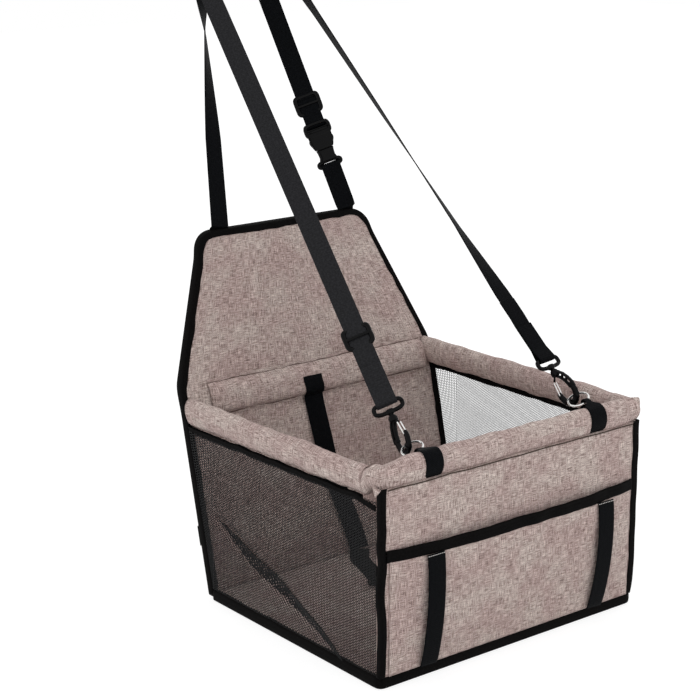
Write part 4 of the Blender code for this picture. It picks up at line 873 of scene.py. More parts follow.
def stitches(name, start, end, out, count, body):
    """Short capsules in a row: each is a six-sided tube with drawn-in ends, from one hole to the next."""
    centres = start + (end - start) * ((np.arange(count) + 0.5) / count)[:, None]
    way = (end - start) / count * 0.42
    along = np.array([-1.0, -0.8, 0.0, 0.8, 1.0])
    swell = np.array([0.15, 0.8, 1.0, 0.8, 0.15]) * 0.00045
    c, s = circle(6)
    up = unit(np.cross(way, out))
    ring = c[:, None] * up + s[:, None] * out
    one = along[:, None, None] * way + swell[:, None, None] * ring[None]
    points = centres[:, None, None] + one[None]
    rows, cols = one.shape[:2]
    i, j = np.indices((rows - 1, cols)).reshape(2, -1)
    here, ahead = i * cols, (i + 1) * cols
    quad = np.stack([here + j, here + (j + 1) % cols, ahead + (j + 1) % cols, ahead + j], axis=1)
    firsts = np.arange(count) * rows * cols
    faces = (quad[None] + firsts[:, None, None]).reshape(-1, 4).tolist()
    for first in firsts.tolist():
        faces += [list(range(first, first + cols)), list(range(first + (rows - 1) * cols, first + rows * cols))]
    mesh = bpy.data.meshes.new(name)
    mesh.from_pydata(points.reshape(-1, 3).tolist(), [], faces)
    bm = bmesh.new()
    bm.from_mesh(mesh)
    bmesh.ops.recalc_face_normals(bm, faces=bm.faces)
    bm.to_mesh(mesh)
    bm.free()
    mesh.shade_smooth()
    return dress(placed(name, mesh), THREAD, body)


SIDES = ((-1, "left"), (1, "right"))
STITCH_ROW = np.array([0.0122, 0.0, 0.0])
STITCH_PLACE = np.array([0.0, -0.0011, -0.0016])
for side, word in SIDES:
    strap, top = pocket_strap(side, word)
    middle = top + STITCH_PLACE
    stitches(f"pocket_strap_{word}_stitches", middle - STITCH_ROW, middle + STITCH_ROW, -Y_AXIS, 9, "front")

# %% [markdown]
# Along the top of the basket runs one padded sleeve over a tube. At each front corner the cloth turns
# in a mitre, with a pinched ear where the seam allowances meet. The sleeve is a profile carried along
# a path: an oval whose radius swells and wrinkles, and whose ring at the corner lies in the mitre plane.

# %% Front sleeve with its two corners
RING_PLACE = {-1: np.array([-0.1235, -0.1114, 0.2554]), 1: np.array([0.1303, -0.1148, 0.2644])}
SIDE_X = WIDTH / 2 - SLEEVE_DEPTH / 2
RAIL_FRONT_Y = FRONT_Y + SLEEVE_DEPTH + CORNER_SLACK
SLEEVE_Y = FRONT_Y + SLEEVE_DEPTH / 2
HALF_DEPTH = SLEEVE_DEPTH / 2 - SKIN
FRONT_HALF_HEIGHT = FRONT_SLEEVE_HEIGHT / 2 - SKIN
SIDE_HALF_HEIGHT = SIDE_SLEEVE_HEIGHT / 2 - SKIN
LEFT_DROOP = 0.0050
CORNER_DROOP = 0.0008
PINCH = np.array([-0.1945, FRONT_Y - 0.0010, FRONT_SLEEVE_Z - 0.0070])
PINCH_SIZE = 0.0065
PINCH_DEPTH = 0.0036


def front_sleeve_grid():
    """Rings along the front, fuller at their lower front, one in each mitre plane, and short runs back to the
    side sleeves. The top droops by a share eased from 0 to 1 towards the left, and the pinch is
    exp(-(distance / size)^2)."""
    out, up = circle(48)
    rows = []
    for side in (-1, 1):
        x = side * (SIDE_X + HALF_DEPTH * out)
        back = []
        for share in np.linspace(0, 1, 8):
            ease = eased(share)
            height = SIDE_HALF_HEIGHT * (1 - ease) + FRONT_HALF_HEIGHT * ease
            level = RAIL_FRONT_Z[side] * (1 - ease) + FRONT_SLEEVE_Z * ease
            y = RAIL_FRONT_Y - SKIN - (RAIL_FRONT_Y - SLEEVE_Y - 0.0110) * share
            back.append(np.column_stack([x, np.full(48, y), level + height * up]))
        mitre = np.column_stack([x, SLEEVE_Y - HALF_DEPTH * out, FRONT_SLEEVE_Z + FRONT_HALF_HEIGHT * up])
        rows.append([*back, mitre])
    lip = np.where((up < 0) & (out > 0), np.sqrt(np.abs(out)), out)
    ring = np.column_stack([0 * out, SLEEVE_Y - HALF_DEPTH * lip, FRONT_SLEEVE_Z + FRONT_HALF_HEIGHT * up])
    front = ring + np.linspace(-SIDE_X + 0.012, SIDE_X - 0.012, 170)[:, None, None] * X_AXIS
    points = np.array([*rows[0], *front, *rows[1][::-1]])
    top = np.clip((points[..., 2] - FRONT_SLEEVE_Z) / FRONT_HALF_HEIGHT, 0, 1)
    points[..., 2] -= LEFT_DROOP * eased(np.clip((-0.138 - points[..., 0]) / 0.05, 0, 1)) * top
    points[..., 2] -= CORNER_DROOP * np.clip((-0.178 - points[..., 0]) / 0.014, 0, 1) * top
    near = np.exp(-(((points - PINCH) * [1.0, 0.8, 1.3] / PINCH_SIZE) ** 2).sum(-1))
    points[..., 1] += PINCH_DEPTH * near
    return points


def plumped(points, size, seed, tabs=()):
    """Each point moved away from its ring's centre by seeded ripples, never inwards as far as the tube, and
    drawn in by webbings."""
    away = unit(points - points.mean(axis=1)[:, None])
    places = points * [1, 1, 1.4]
    inner = np.clip((SIDE_X - np.abs(points[..., :1].mean(axis=1))) / 0.03, 0.25, 1) if len(tabs) else 1.0
    swell = 0.0004 + inner * (size * ripples(places, 0.06, seed) + 0.2 * size * ripples(places, 0.022, seed + 1))
    swell = np.maximum(swell, -0.0002)
    for x in tabs:
        held = bump_at(points[..., 0], x, 0.015)
        beside = bump_at(points[..., 0], x - 0.026, 0.012) + bump_at(points[..., 0], x + 0.026, 0.012)
        swell = swell * (1 - held) + 0.0007 * beside
    return points + away * swell[..., None]


sleeve_points = plumped(front_sleeve_grid(), 0.0007, 61, [RING_PLACE[side][0] for side in (-1, 1)])
front_sleeve = cloth("front_sleeve_cloth", sleeve_points, CLOTH, wrap=True)
dress(front_sleeve, LINEN, "front", "front_sleeve")

# %% [markdown]
# The side sleeves are cut wider than their tubes and sewn below, so they are oval too. Each moves with
# its own rail, which hinges at the backrest.

# %% Side sleeves
SETBACK = 0.0018


def rail_z(side, share):
    """The height of a rail's middle: a straight line from its front end to its rear end."""
    return RAIL_FRONT_Z[side] + (RAIL_REAR_Z[side] - RAIL_FRONT_Z[side]) * share


def side_sleeve(side, word):
    """Rings from the front end to the backrest, each leaning back as the backrest does towards the rear."""
    c, s = circle(44)
    share = np.linspace(0, 1, 130)[:, None]
    rear_y = float(back_y(RAIL_REAR_Z[side])) - SETBACK
    x = side * (SIDE_X + HALF_DEPTH * c) + 0 * share
    y = RAIL_FRONT_Y + (rear_y - RAIL_FRONT_Y) * share + UPPER_LEAN * share * SIDE_HALF_HEIGHT * s
    points = np.stack([x, y, rail_z(side, share) + SIDE_HALF_HEIGHT * s], axis=-1)
    points = plumped(points, 0.0008, 64 + side)
    piece = cloth(f"{word}_sleeve_cloth", points, CLOTH, wrap=True)
    dress(piece, LINEN, f"side_rail_{word}", f"{word}_sleeve")


for side, word in SIDES:
    side_sleeve(side, word)

# %% [markdown]
# The corner ears are where the sleeve's seam allowances stick out: a pinch at the lower front on the
# left, and a point at the top on the right.

# %% Corner ears


def ear(root_a, root_b, tip, sag):
    """A three-cornered flap: (1 - 0.96 v) times the root line plus 0.96 v times the tip, waved across its width."""
    root_a, root_b, tip, sag = (np.array(a) for a in (root_a, root_b, tip, sag))
    u, v = grid(0, 1, 14, 0, 1, 12)
    root = root_a + (root_b - root_a) * u[..., None]
    points = root + (tip - root) * (0.96 * v)[..., None]
    points = points + sag * (np.sin(u * 1.4 * math.pi) * (1 - v * 0.4))[..., None]
    points[-1] = points[-1] + (u[-1] - 0.5)[:, None] * (root_b - root_a) * 0.10
    return points


EAR_ROOT = ((-0.2000, -0.1480, 0.2370), (-0.1990, -0.1625, 0.2340))
left_ear = ear(*EAR_ROOT, (-0.2020, -0.1560, 0.2250), (-0.0006, -0.0006, 0))


def corner_fin():
    """In the right mitre plane, from the sleeve's oval out to a squarer outline with its corner at the top."""
    t, v = np.meshgrid(np.radians(np.linspace(112, -62, 60)), np.linspace(0, 1, 10), indexing="ij")
    c, s = np.cos(t), np.sin(t)
    peak = bump_at(t, math.radians(48), 0.34)
    out = 0.94 * c + (np.where(s > 0, rounded(c, 0.42), c * 1.03) - 0.94 * c + 0.05 * peak) * v
    up = 0.94 * s + (np.where(s > 0, rounded(s, 0.42) * 1.03, s * 1.02) - 0.94 * s + 0.14 * peak) * v
    wave = 0.0005 * np.sin(t * 7) * v
    x = SIDE_X + SLEEVE_DEPTH / 2 * out * 0.96 + wave
    y = SLEEVE_Y - SLEEVE_DEPTH / 2 * out * 0.96 + wave
    return np.stack([x, y, FRONT_SLEEVE_Z + FRONT_SLEEVE_HEIGHT / 2 * up], axis=-1)


right_ear = corner_fin()
ear_left = dress(cloth("corner_ear_left", left_ear, 0.0012), LINEN, "front")
ear_right = dress(cloth("corner_ear_right", right_ear, 0.0012), LINEN, "front")

# %% [markdown]
# The sleeve is sewn to the outer cloth along its lower edge. The fold there lies in its own shadow, and
# what shows is a dark line: a narrow piece in the shadowed tone of the same cloth.

# %% Seam line under the front sleeve
SEAM_CLOTH = grained("linen-look cloth, in the shadow of its seam", LINEN["slot"], "#43362F", 0.9, 0.003, 0.0001)
seam_x = np.linspace(-SIDE_X, SIDE_X, 240)
seam_z = SEAM_START_Z + 0.0005 + 0.0003 * ripples_along(seam_x, 0.05, 90)
seam_path = np.column_stack([seam_x, panel_y(seam_x, seam_x * 0 + FRONT_SLEEVE_Z - 0.018) - 0.0004, seam_z])
seam_line = webbing("front_seam_line", seam_path, *framed(seam_path, Z_AXIS), 0.0015, 0.0009)
dress(seam_line, SEAM_CLOTH, "front")

# %% [markdown]
# The backrest's tunnel is held by a row of stitching above and below it. Each row presses the cloth into
# the foam, and the shade in that groove is painted: a narrow line in a darker tone of the same cloth.

# %% Stitching above and below the tunnel
# painted shade: the groove along each row of stitching, drawn as a darker line of the cloth
STITCH_GROOVE_SHADE = grained("linen-look cloth, along the tunnel's stitching", LINEN["slot"], "#5E4E47", 0.9, 0.003, 0.0001)
for word, way in (("upper", 1), ("lower", -1)):
    row_x = np.linspace(BAND_ENDS[0], BAND_ENDS[1], 220)
    row_z = BAND_Z + way * (BAND_HALF + 0.0008) + 0.0004 * ripples_along(row_x, 0.05, 91 + way)
    row = np.column_stack([row_x, lining_y(row_x, row_z) - 0.0020, row_z])
    dress(webbing(f"tunnel_{word}_seam_line", row, *framed(row, Z_AXIS), 0.0012, 0.0008), STITCH_GROOVE_SHADE, "backrest")

# %% [markdown]
# Each side is a net between the base, the backrest and its rail. The left one has a long diagonal
# crease. The net moves with the base. Its rear corner, which leans back over the backrest's foot, is a
# wedge of its own and stays with the backrest. Nothing flattens the net when the seat folds: at full fold
# some of the net still meets the backrest's foot.

# %% Mesh sides
MESH_FRONT_Y = -0.1536
CREASE = (np.array([0.1525, 0.1078]), np.array([-0.1009, 0.0095]))
CREASE_DEPTH = 0.0065
NET_THICK = 0.0003
NET_DROP = 0.0163
NET_BOW = 0.0040


def crumpled(piece):
    """The piece with a mesh of its own; it is not flattened."""
    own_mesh(piece)
    return piece


def net(side, word, stuff, wedge=False):
    """Between four straight edges, bowed 4 mm inwards, with a ridge along the crease line on the left. The
    wedge is what lies behind the backrest's foot."""
    u, v = grid(0, 1, 100, 0, 1, 90)
    rear_low, rear_high = (float(back_y(z)) - SETBACK for z in (FOOT_Z, RAIL_REAR_Z[side] - NET_DROP))
    rear = rear_low + (rear_high - rear_low) * v
    first = rear_low - 0.0003 if wedge else MESH_FRONT_Y
    y = first + ((rear if wedge else rear_low) - first) * u
    u = (y - MESH_FRONT_Y) / (rear - MESH_FRONT_Y)
    z = FOOT_Z + (rail_z(side, u) - NET_DROP - FOOT_Z) * v
    places = np.stack([y, z], axis=-1)
    inner = np.sin(math.pi * u) * np.sin(math.pi * v)
    bow = NET_BOW * inner + 0.0011 * ripples(places, 0.12, 70 + side) * inner**0.5
    if side < 0:
        start, end = CREASE
        line = end - start
        along = np.clip(((places - start) @ line) / (line @ line), 0, 1)
        away = np.linalg.norm(places - start - along[..., None] * line, axis=-1)
        edge = np.clip(5 * np.minimum(np.minimum(u, 1 - u), np.minimum(v, 1 - v)), 0, 1)
        bow = bow + CREASE_DEPTH * edge * bump_at(away, 0, 0.008)
    points = np.stack([side * (WIDTH / 2 - 0.0019 - bow), y, z], axis=-1)
    if wedge:
        return dress(cloth(f"{word}_net_wedge", points, NET_THICK), stuff, "backrest")
    piece = dress(cloth(f"{word}_net", points, NET_THICK), stuff, "base", f"{word}_mesh")
    return crumpled(piece), points


left_net, left_points = net(-1, "left", MESH)
right_net, right_points = net(1, "right", FAR_MESH_PAINTED_LIGHTER)
left_wedge, right_wedge = net(-1, "left", MESH, True), net(1, "right", FAR_MESH_PAINTED_LIGHTER, True)

# %% [markdown]
# On the crease the left net lies double, in a long narrow pleat that reads darker than the rest. It is a
# piece of its own, just outside the net, because its holes are half closed by the layer behind.

# %% Pleat in the left net
PLEAT_HALF = 0.0072
PLEAT_SWING = 0.0040
PLEAT_OUT = 0.0011


def pleat(points):
    """Along the crease, (y, z) goes sideways by t times the half width times sin(pi s) ** 0.8, plus the swing
    times sin(2 pi s). Its x is that of the nearest net point, smoothed, and a little further out."""
    s, t = grid(0.0, 0.98, 70, -1, 1, 8)
    start, end = CREASE
    way = unit(end - start)
    aside = t * PLEAT_HALF * np.sin(math.pi * np.clip(s, 0.001, 1)) ** 0.8 + PLEAT_SWING * np.sin(2 * math.pi * s)
    places = start + (end - start) * s[..., None] + np.array([-way[1], way[0]]) * aside[..., None]
    some = points.reshape(-1, 3)[::3]
    gaps = ((places.reshape(-1, 1, 2) - some[None, :, 1:]) ** 2).sum(-1)
    x = softened(some[gaps.argmin(axis=1), 0].reshape(s.shape), 6) - PLEAT_OUT
    made = cloth("left_net_pleat", np.concatenate([x[..., None], places], axis=-1), 0.0005)
    return crumpled(dress(made, PLEAT_MESH, "base"))


left_pleat = pleat(left_points)

# %% [markdown]
# Black tape closes the net's edges: under the side sleeve, up the inner rear corner and across the short
# stretch between the rail's front end and the front sleeve.

# %% Tape round the nets
STRIP_THICK = 0.0012
TAPE_DROP = 0.0205


def strip(name, path, side, width, body):
    """A flat tape on a path, 1.2 mm thick."""
    return dress(webbing(name, path, *framed(path, side), width, STRIP_THICK), TAPE, body)


def net_tapes(side, word):
    """One strip at the net's front top corner, one under the sleeve on each face of the net, on the rail, and
    one up the rear corner, on the backrest. The two on the rail share their soft ripples."""
    foot = RAIL_REAR_Z[side] - TAPE_DROP
    y = np.linspace(RAIL_FRONT_Y + 0.002, float(back_y(foot)) - 0.004, 70)
    share = (y - y[0]) / (y[-1] - y[0])
    level = rail_z(side, share) - TAPE_DROP + 0.0005 * ripples_along(y, 0.05, 80 + side)
    z = np.linspace(0.016, foot - 0.003, 60)
    ahead = np.linspace(0, 1, 24)

    def at(inset, path_y, path_z):
        """A path at a distance inside the seat's widest plane."""
        return np.column_stack([np.full(len(path_y), side * (WIDTH / 2 - inset)), path_y, path_z])

    corner = at(0.0006, RAIL_FRONT_Y + 0.006 - 0.0315 * ahead, level[0] + 0.0012 - 0.0042 * ahead)
    outside, inside, rear = at(0.0008, y, level + 0.0022), at(0.0052, y, level), at(0.0060, back_y(z) - 0.0044, z)
    return [
        crumpled(strip(f"{word}_net_corner_tape", corner, Z_AXIS, 0.0062, "base")),
        strip(f"{word}_net_top_tape", outside, Z_AXIS, 0.0052, f"side_rail_{word}"),
        strip(f"{word}_net_inner_tape", inside, Z_AXIS, 0.0095, f"side_rail_{word}"),
        strip(f"{word}_net_rear_tape", rear, X_AXIS * 0.8 - side * Y_AXIS * 0.6, 0.0065, "backrest"),
    ]


left_tapes = net_tapes(-1, "left")
right_tapes = net_tapes(1, "right")

# %% [markdown]
# Four webbings go up to a loop for the headrest. Each is straight and taut, and turns about its own
# line on the way. The turn is a list of (share of the length, degrees), read from the photograph.

# %% Strap frames
HEADREST_Z = 0.7995
HEADREST_HALF = (0.1300, 0.0600)
HEADREST_Y = 0.4655
SQUARENESS = 3.0
FRONT_TOP_X = 0.0595
BACK_TOP_X = 0.0350
FRONT_TWIST = {
    -1: ((0.0, -38.0), (0.68, -38.0), (0.88, -20.0), (1.0, 0.0)),
    1: ((0.0, 0.0), (0.15, 4.0), (0.30, 34.0), (0.56, 53.0), (0.80, 62.0), (0.93, 80.0), (1.0, 180.0)),
}
BACK_TWIST = {
    -1: ((0.0, 0.0), (0.30, 8.0), (0.65, 54.0), (0.72, 77.0), (1.0, 180.0)),
    1: ((0.0, -14.0), (0.035, -36.0), (0.80, -36.0), (1.0, 0.0)),
}


def loop_front(x):
    """How far forward the headrest loop's front lies: the superellipse solved for y."""
    return HEADREST_Y - HEADREST_HALF[1] * (1 - (x / HEADREST_HALF[0]) ** SQUARENESS) ** (1 / SQUARENESS)


SEAM_Z = HEADREST_Z - WEB_WIDTH / 2
SEAM_TOP_Z = HEADREST_Z + WEB_WIDTH / 2
STRAP_FRONT_Y = loop_front(FRONT_TOP_X - WEB_WIDTH / 2) - WEB_THICK - SEAT_GAP
STRAP_INNER_Y = loop_front(BACK_TOP_X + WEB_WIDTH / 2) + WEB_THICK + 2 * SEAT_GAP


def strap_frame(start, end, degrees):
    """Side and face of a strap: the level direction square to it, turned by the angle about its line."""
    along = unit(end - start)
    level = unit(X_AXIS - along * along[0])
    upright = np.cross(along, level)
    angle = np.radians(np.atleast_1d(degrees))[:, None]
    side = level * np.cos(angle) + upright * np.sin(angle)
    return side, np.cross(along, side)


def stretch(start, end, low, high, twists, count=120):
    """A straight run between two distances from its start, with its turn read from the list."""
    reach = np.linspace(low, high, count)
    degrees = np.interp(reach / np.linalg.norm(end - start), *zip(*twists))
    sides, faces = strap_frame(start, end, degrees)
    return start + unit(end - start) * reach[:, None], sides, faces


def sewn_to_loop(path, sides, faces, x, y):
    """Carries the run on, flat against the loop, up to the loop's top edge."""
    sign = round(float(sides[-1] @ X_AXIS))
    ends = np.array([[x, y, SEAM_Z + WEB_THICK], [x, y, SEAM_TOP_Z]])
    side = np.tile(sign * X_AXIS, (2, 1))
    return np.vstack([path, ends]), np.vstack([sides, side]), np.vstack([faces, np.cross(Z_AXIS, side)])


# %% [markdown]
# The loop goes round the car's headrest. Only its straps are in the photograph, so its outline, a
# superellipse, is a guess from where they point.

# %% Headrest loop
loop_x, loop_y = (half * rounded(a, 2 / SQUARENESS) for half, a in zip(HEADREST_HALF, circle(120)))
loop_path = closed_path(np.column_stack([loop_x, HEADREST_Y + loop_y, np.full(120, HEADREST_Z)]), 160)
step = unit(np.roll(loop_path, -1, axis=0) - np.roll(loop_path, 1, axis=0))
loop_sides = np.tile(Z_AXIS, (160, 1))
headrest_loop = webbing("headrest_loop_web", loop_path, loop_sides, np.cross(step, loop_sides), closed=True)
dress(headrest_loop, WEBBING, "backrest", "headrest_loop")

# %% [markdown]
# Each front strap folds round its hook's eye and is sewn back on itself. The lower stretch moves with
# the basket's front. The long upper stretch, which slackens when the seat folds, moves with the backrest.

# %% Front straps
HOOK_REACH = 0.0500
EYE_HALF_HEIGHT = 0.0062
EYE_BAR_R = 0.0025
SPLIT = 0.0925
SEWN = 0.0560


def hook_line(side):
    """The eye, the strap's top and the way between them, which starts at the ring."""
    top = np.array([side * FRONT_TOP_X, STRAP_FRONT_Y, SEAM_Z])
    along = unit(top - RING_PLACE[side])
    return RING_PLACE[side] + along * HOOK_REACH, top, along


def hairpin(start, along, side, up, bar_r, sewn, high):
    """One layer, a step, two layers, a half turn round the bar, and back to where the end is sewn."""
    wide = bar_r + 3 * SEAT_GAP + WEB_THICK / 2
    close = WEB_THICK / 2 + SEAT_GAP / 2
    single = sewn + WEB_WIDTH / 2
    near = min(6 * bar_r, 0.9 * sewn)
    front = [(high, 0.0), (0.5 * (high + single), 0.0), (single, 0.0), (sewn, close), (near, close)]
    turn = [(-wide * math.cos(t), wide * math.sin(t)) for t in np.radians(np.linspace(75, -75, 9))]
    pairs = resampled(np.array([*front, *turn, (near, -close), (sewn - 0.0006, -close)]), 150)
    path = start + along * pairs[:, :1] + up * pairs[:, 1:]
    normals = np.cross(unit(np.gradient(path, axis=0)), side)
    return path, np.tile(side, (len(path), 1)), normals


def front_strap(side, word):
    """The fold on the eye, and the long run to the headrest."""
    eye, top, along = hook_line(side)
    stuff = STRAP if side < 0 else WEBBING
    side_way, up = (a[0] for a in strap_frame(eye, top, FRONT_TWIST[side][0][1]))
    lengths = (SEWN - EYE_HALF_HEIGHT, SPLIT - EYE_HALF_HEIGHT)
    fold = hairpin(eye + along * EYE_HALF_HEIGHT, along, side_way, up, EYE_BAR_R, *lengths)
    dress(webbing(f"front_strap_{word}_fold", *fold), stuff, "front", f"front_strap_{word}_lower")
    path, sides, faces = stretch(eye, top, SPLIT + SEAT_GAP, np.linalg.norm(top - eye), FRONT_TWIST[side])
    run = webbing(f"front_strap_{word}_run", *sewn_to_loop(path, sides, faces, top[0], top[1]))
    dress(run, stuff, "backrest", f"front_strap_{word}_upper")
    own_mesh(run)


for side, word in SIDES:
    front_strap(side, word)

# %% [markdown]
# The back straps are sewn into the tape at the top of the backrest. The right one has the buckle and a
# slider. Its lower stretch, round the plug's bar, moves with the backrest.

# %% Back straps
BACK_FOOT_X = {-1: -0.0980, 1: 0.1040}
BUCKLE_START = 0.0580
BUCKLE_SPLIT = 0.0860
BUCKLE_END = 0.1210
BACK_SLIDER = 0.1455


def back_ends(side):
    """Foot and top of a back strap."""
    start = np.array([BACK_FOOT_X[side], BACK_TOP[0], BACK_TOP[1] + SEAT_GAP])
    return start, np.array([side * BACK_TOP_X, STRAP_INNER_Y, SEAM_Z])


def sunk(path, sides, faces):
    """Two more points at the foot, so that the webbing goes down between the lining and the cover."""
    drop = np.array([[0.0, 0.0046, -0.0100], [0.0, 0.0036, -0.0030]])
    return np.vstack([path[0] + drop, path]), *(np.vstack([a[:1], a[:1], a]) for a in (sides, faces))


start, end = back_ends(-1)
run = sunk(*stretch(start, end, 0.003, np.linalg.norm(end - start), BACK_TWIST[-1]))
dress(webbing("back_strap_left_run", *sewn_to_loop(*run, end[0], end[1])), WEBBING, "backrest", "back_strap_left")

right_start, right_end = back_ends(1)
right_along = unit(right_end - right_start)
PLUG_BAR = BUCKLE_START + 0.0026
SOCKET_BAR = BUCKLE_END - 0.0026
BUCKLE_BAR_R = 0.0024
buckle_side, buckle_up = (a[0] for a in strap_frame(right_start, right_end, BACK_TWIST[1][1][1]))
foot = sunk(*stretch(right_start, right_end, 0.003, 0.029, BACK_TWIST[1], 20))
bar = right_start + right_along * PLUG_BAR
fold = hairpin(bar, -right_along, buckle_side, -buckle_up, BUCKLE_BAR_R, 0.0140, PLUG_BAR - 0.031)
run = [np.vstack(pair) for pair in zip(foot, fold)]
lower_web = dress(webbing("back_strap_right_foot", *run), WEBBING, "backrest", "back_strap_right_lower")
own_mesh(lower_web)
bar = right_start + right_along * SOCKET_BAR
fold = hairpin(bar, right_along, buckle_side, buckle_up, BUCKLE_BAR_R, 0.0340, 0.0480)
run = stretch(right_start, right_end, SOCKET_BAR + 0.0500, np.linalg.norm(right_end - right_start), BACK_TWIST[1])
run = [np.vstack([a[::-1], b]) for a, b in zip((fold[0], fold[1], -fold[2]), run)]
upper_web = webbing("back_strap_right_run", *sewn_to_loop(*run, right_end[0], right_end[1]))
dress(upper_web, WEBBING, "backrest", "back_strap_right_upper")

# %% [markdown]
# Two more webbings belong to the basket: the tether down the inside of the backrest to a hook on the
# floor, and a flat one across the rear for the car's own belt.

# %% Tether and belt webbing
TETHER_X = {"top": -0.011, "middle": 0.001, "floor": 0.0300, "bend": 0.0100, "end": -0.0180}
TETHER_TOP_Z = 0.2440
TETHER_END_Y = 0.0600
BELT_Z = 0.0756
BELT_HALF = 0.1985
BELT_PROUD = 0.0090
TETHER_WIDTH = 0.0290


def tether_upright():
    """Over the tunnel's front, then down the lining, drifting sideways as it drops. It never cuts into the tunnel."""
    low = BASE_TOP_Z + 2 * WEB_THICK
    seam = BAND_Z - BAND_HALF
    z = np.concatenate([np.linspace(TETHER_TOP_Z, seam - 0.006, 60), np.linspace(seam - 0.010, low, 60)])
    stops = [-TETHER_TOP_Z, -BAND_Z, -0.5 * (BAND_Z + BASE_TOP_Z), -low]
    x = np.interp(-z, stops, [TETHER_X[key] for key in ("top", "top", "middle", "floor")])
    under = np.max([tunnel_depth(x, z + off) for off in (-0.0015, 0.0, 0.0015)], axis=0)
    fall = np.clip((z - (seam - 0.012)) / 0.012, 0, 1)
    y = lining_y(x, z) - 0.0026 - np.maximum(under, 0.004 * fall**2 * (z < seam))
    path = softened(np.column_stack([x, y, z]), 2)
    sides = np.tile(X_AXIS, (len(path), 1))
    return path, sides, np.cross(unit(np.gradient(path, axis=0) * [0, 1, 1]), sides)


path, sides, faces = tether_upright()
dress(webbing("tether_upright_web", path, sides, unit(faces), TETHER_WIDTH), WEBBING, "backrest", "tether_back")

floor_z = BASE_TOP_Z + 2 * SEAT_GAP + WEB_THICK / 2
tether_start_y = float(back_y(BASE_TOP_Z)) - 0.0044
mid_y = 0.5 * (tether_start_y + TETHER_END_Y)
route = [
    (TETHER_X["floor"], tether_start_y, floor_z),
    (TETHER_X["bend"], mid_y + WEB_WIDTH, floor_z),
    (0.5 * (TETHER_X["bend"] + TETHER_X["end"]), mid_y - WEB_WIDTH / 2, floor_z),
    (TETHER_X["end"], TETHER_END_Y, floor_z),
]
path = smooth_path(route, 16)
sides, faces = framed(path, X_AXIS)
dress(webbing("tether_floor_web", path, sides, faces), WEBBING, "base", "tether_floor")

share = np.linspace(-1, 1, 120)
rear_normal = unit([0, BACK_RIM[1] - BACK_FOOT[1], -(BACK_RIM[0] - BACK_FOOT[0])])
rear_up = unit([0, BACK_RIM[0] - BACK_FOOT[0], BACK_RIM[1] - BACK_FOOT[1]])
belt_y = BACK_FOOT[0] + (BELT_Z - BACK_FOOT[1]) * LOWER_LEAN + BACK_DEPTH + 0.0028
proud = softened(BELT_PROUD * np.clip(4 * (1 - np.abs(share)), 0, 1)[:, None], 6)
path = share[:, None] * BELT_HALF * X_AXIS + [0, belt_y, BELT_Z] + rear_normal * proud
belt = webbing("belt_web", path, np.tile(rear_up, (120, 1)), np.tile(rear_normal, (120, 1)))
dress(belt, WEBBING, "backrest", "belt_loop")

# %% [markdown]
# The hard little pieces are built from two shapes: a tube along a path, whose radius may change, and a
# rounded block. Several shapes are gathered in one object, as they are in one moulding.

# %% Tubes, blocks and gathering them


def tube_grid(path, radii, side, closed=False, flat=1.0, sides=16):
    """Point + r (cos t side + flat sin t face), with the radius and the frame given along the path."""
    path = np.asarray(path, float)
    if closed:
        along = unit(np.roll(path, -1, axis=0) - np.roll(path, 1, axis=0))
        way = np.broadcast_to(side, path.shape)
        across = unit(way - along * (way * along).sum(-1, keepdims=True))
        face = np.cross(along, across)
    else:
        across, face = framed(path, side)
    c, s = (a[:, None] for a in circle(sides))
    r = np.broadcast_to(np.asarray(radii, float), (len(path),))[:, None, None]
    points = path[:, None] + r * (across[:, None] * c + flat * face[:, None] * s)
    return np.concatenate([points, points[:1]]) if closed else points


def block_grid(centre, axes, size, roundness=5.0, rows=17, cols=40):
    """A superellipsoid: |x/a|^n + |y/b|^n + |z/c|^n = 1, which is a box with soft edges."""
    lat = np.linspace(-math.pi / 2, math.pi / 2, rows)[:, None]
    c, s = (rounded(a, 2 / roundness) for a in circle(cols))
    level = rounded(np.cos(lat), 2 / roundness)
    x, y, z = level * c, level * s, rounded(np.sin(lat), 2 / roundness) + 0 * c
    half = np.asarray(size) / 2
    return centre + sum(v[..., None] * h * a for v, h, a in zip((x, y, z), half, np.asarray(axes)))


def gathered(name, grids, stuff, body, *nodes):
    """One object from several closed grids: each is skinned, its ends capped or its poles merged, and all joined."""
    made = []
    for k, points in enumerate(grids):
        ends_open = np.linalg.norm(points[0] - points[0, 0], axis=-1).max() > 1e-6
        made.append(surface(f"{name}_{k}", points, wrap=True, caps=ends_open))
    bm = bmesh.new()
    for one in made:
        bm.from_mesh(one.data)
    mesh = bpy.data.meshes.new(name)
    bm.to_mesh(mesh)
    bm.free()
    for one in made:
        old = one.data
        bpy.data.objects.remove(one)
        bpy.data.meshes.remove(old)
    mesh.shade_smooth()
    mesh.set_sharp_from_angle(angle=math.radians(50))
    return dress(placed(name, mesh), stuff, body, *nodes)


def oblong(centre, wide_way, wide, tall_way, tall, power, count):
    """A closed superellipse in space: centre + rounded cosine and sine, each along its way, evenly spaced."""
    c, s = circle(count[0])
    loop = centre + wide_way * (wide * rounded(c, power))[:, None] + tall_way * (tall * rounded(s, power))[:, None]
    return closed_path(loop, count[1])


# %% [markdown]
# A swivel hook has an oval eye for the webbing, a barrel that turns on the eye's stem, a flat curved
# spine, an arm that comes back up past the ring, and a gate of bent wire between the barrel and the
# arm. Near the barrel the spine is cored out, as mouldings are to cool evenly: two rails with short
# bars between them leave three holes. Small ribs go on down its outer edge.

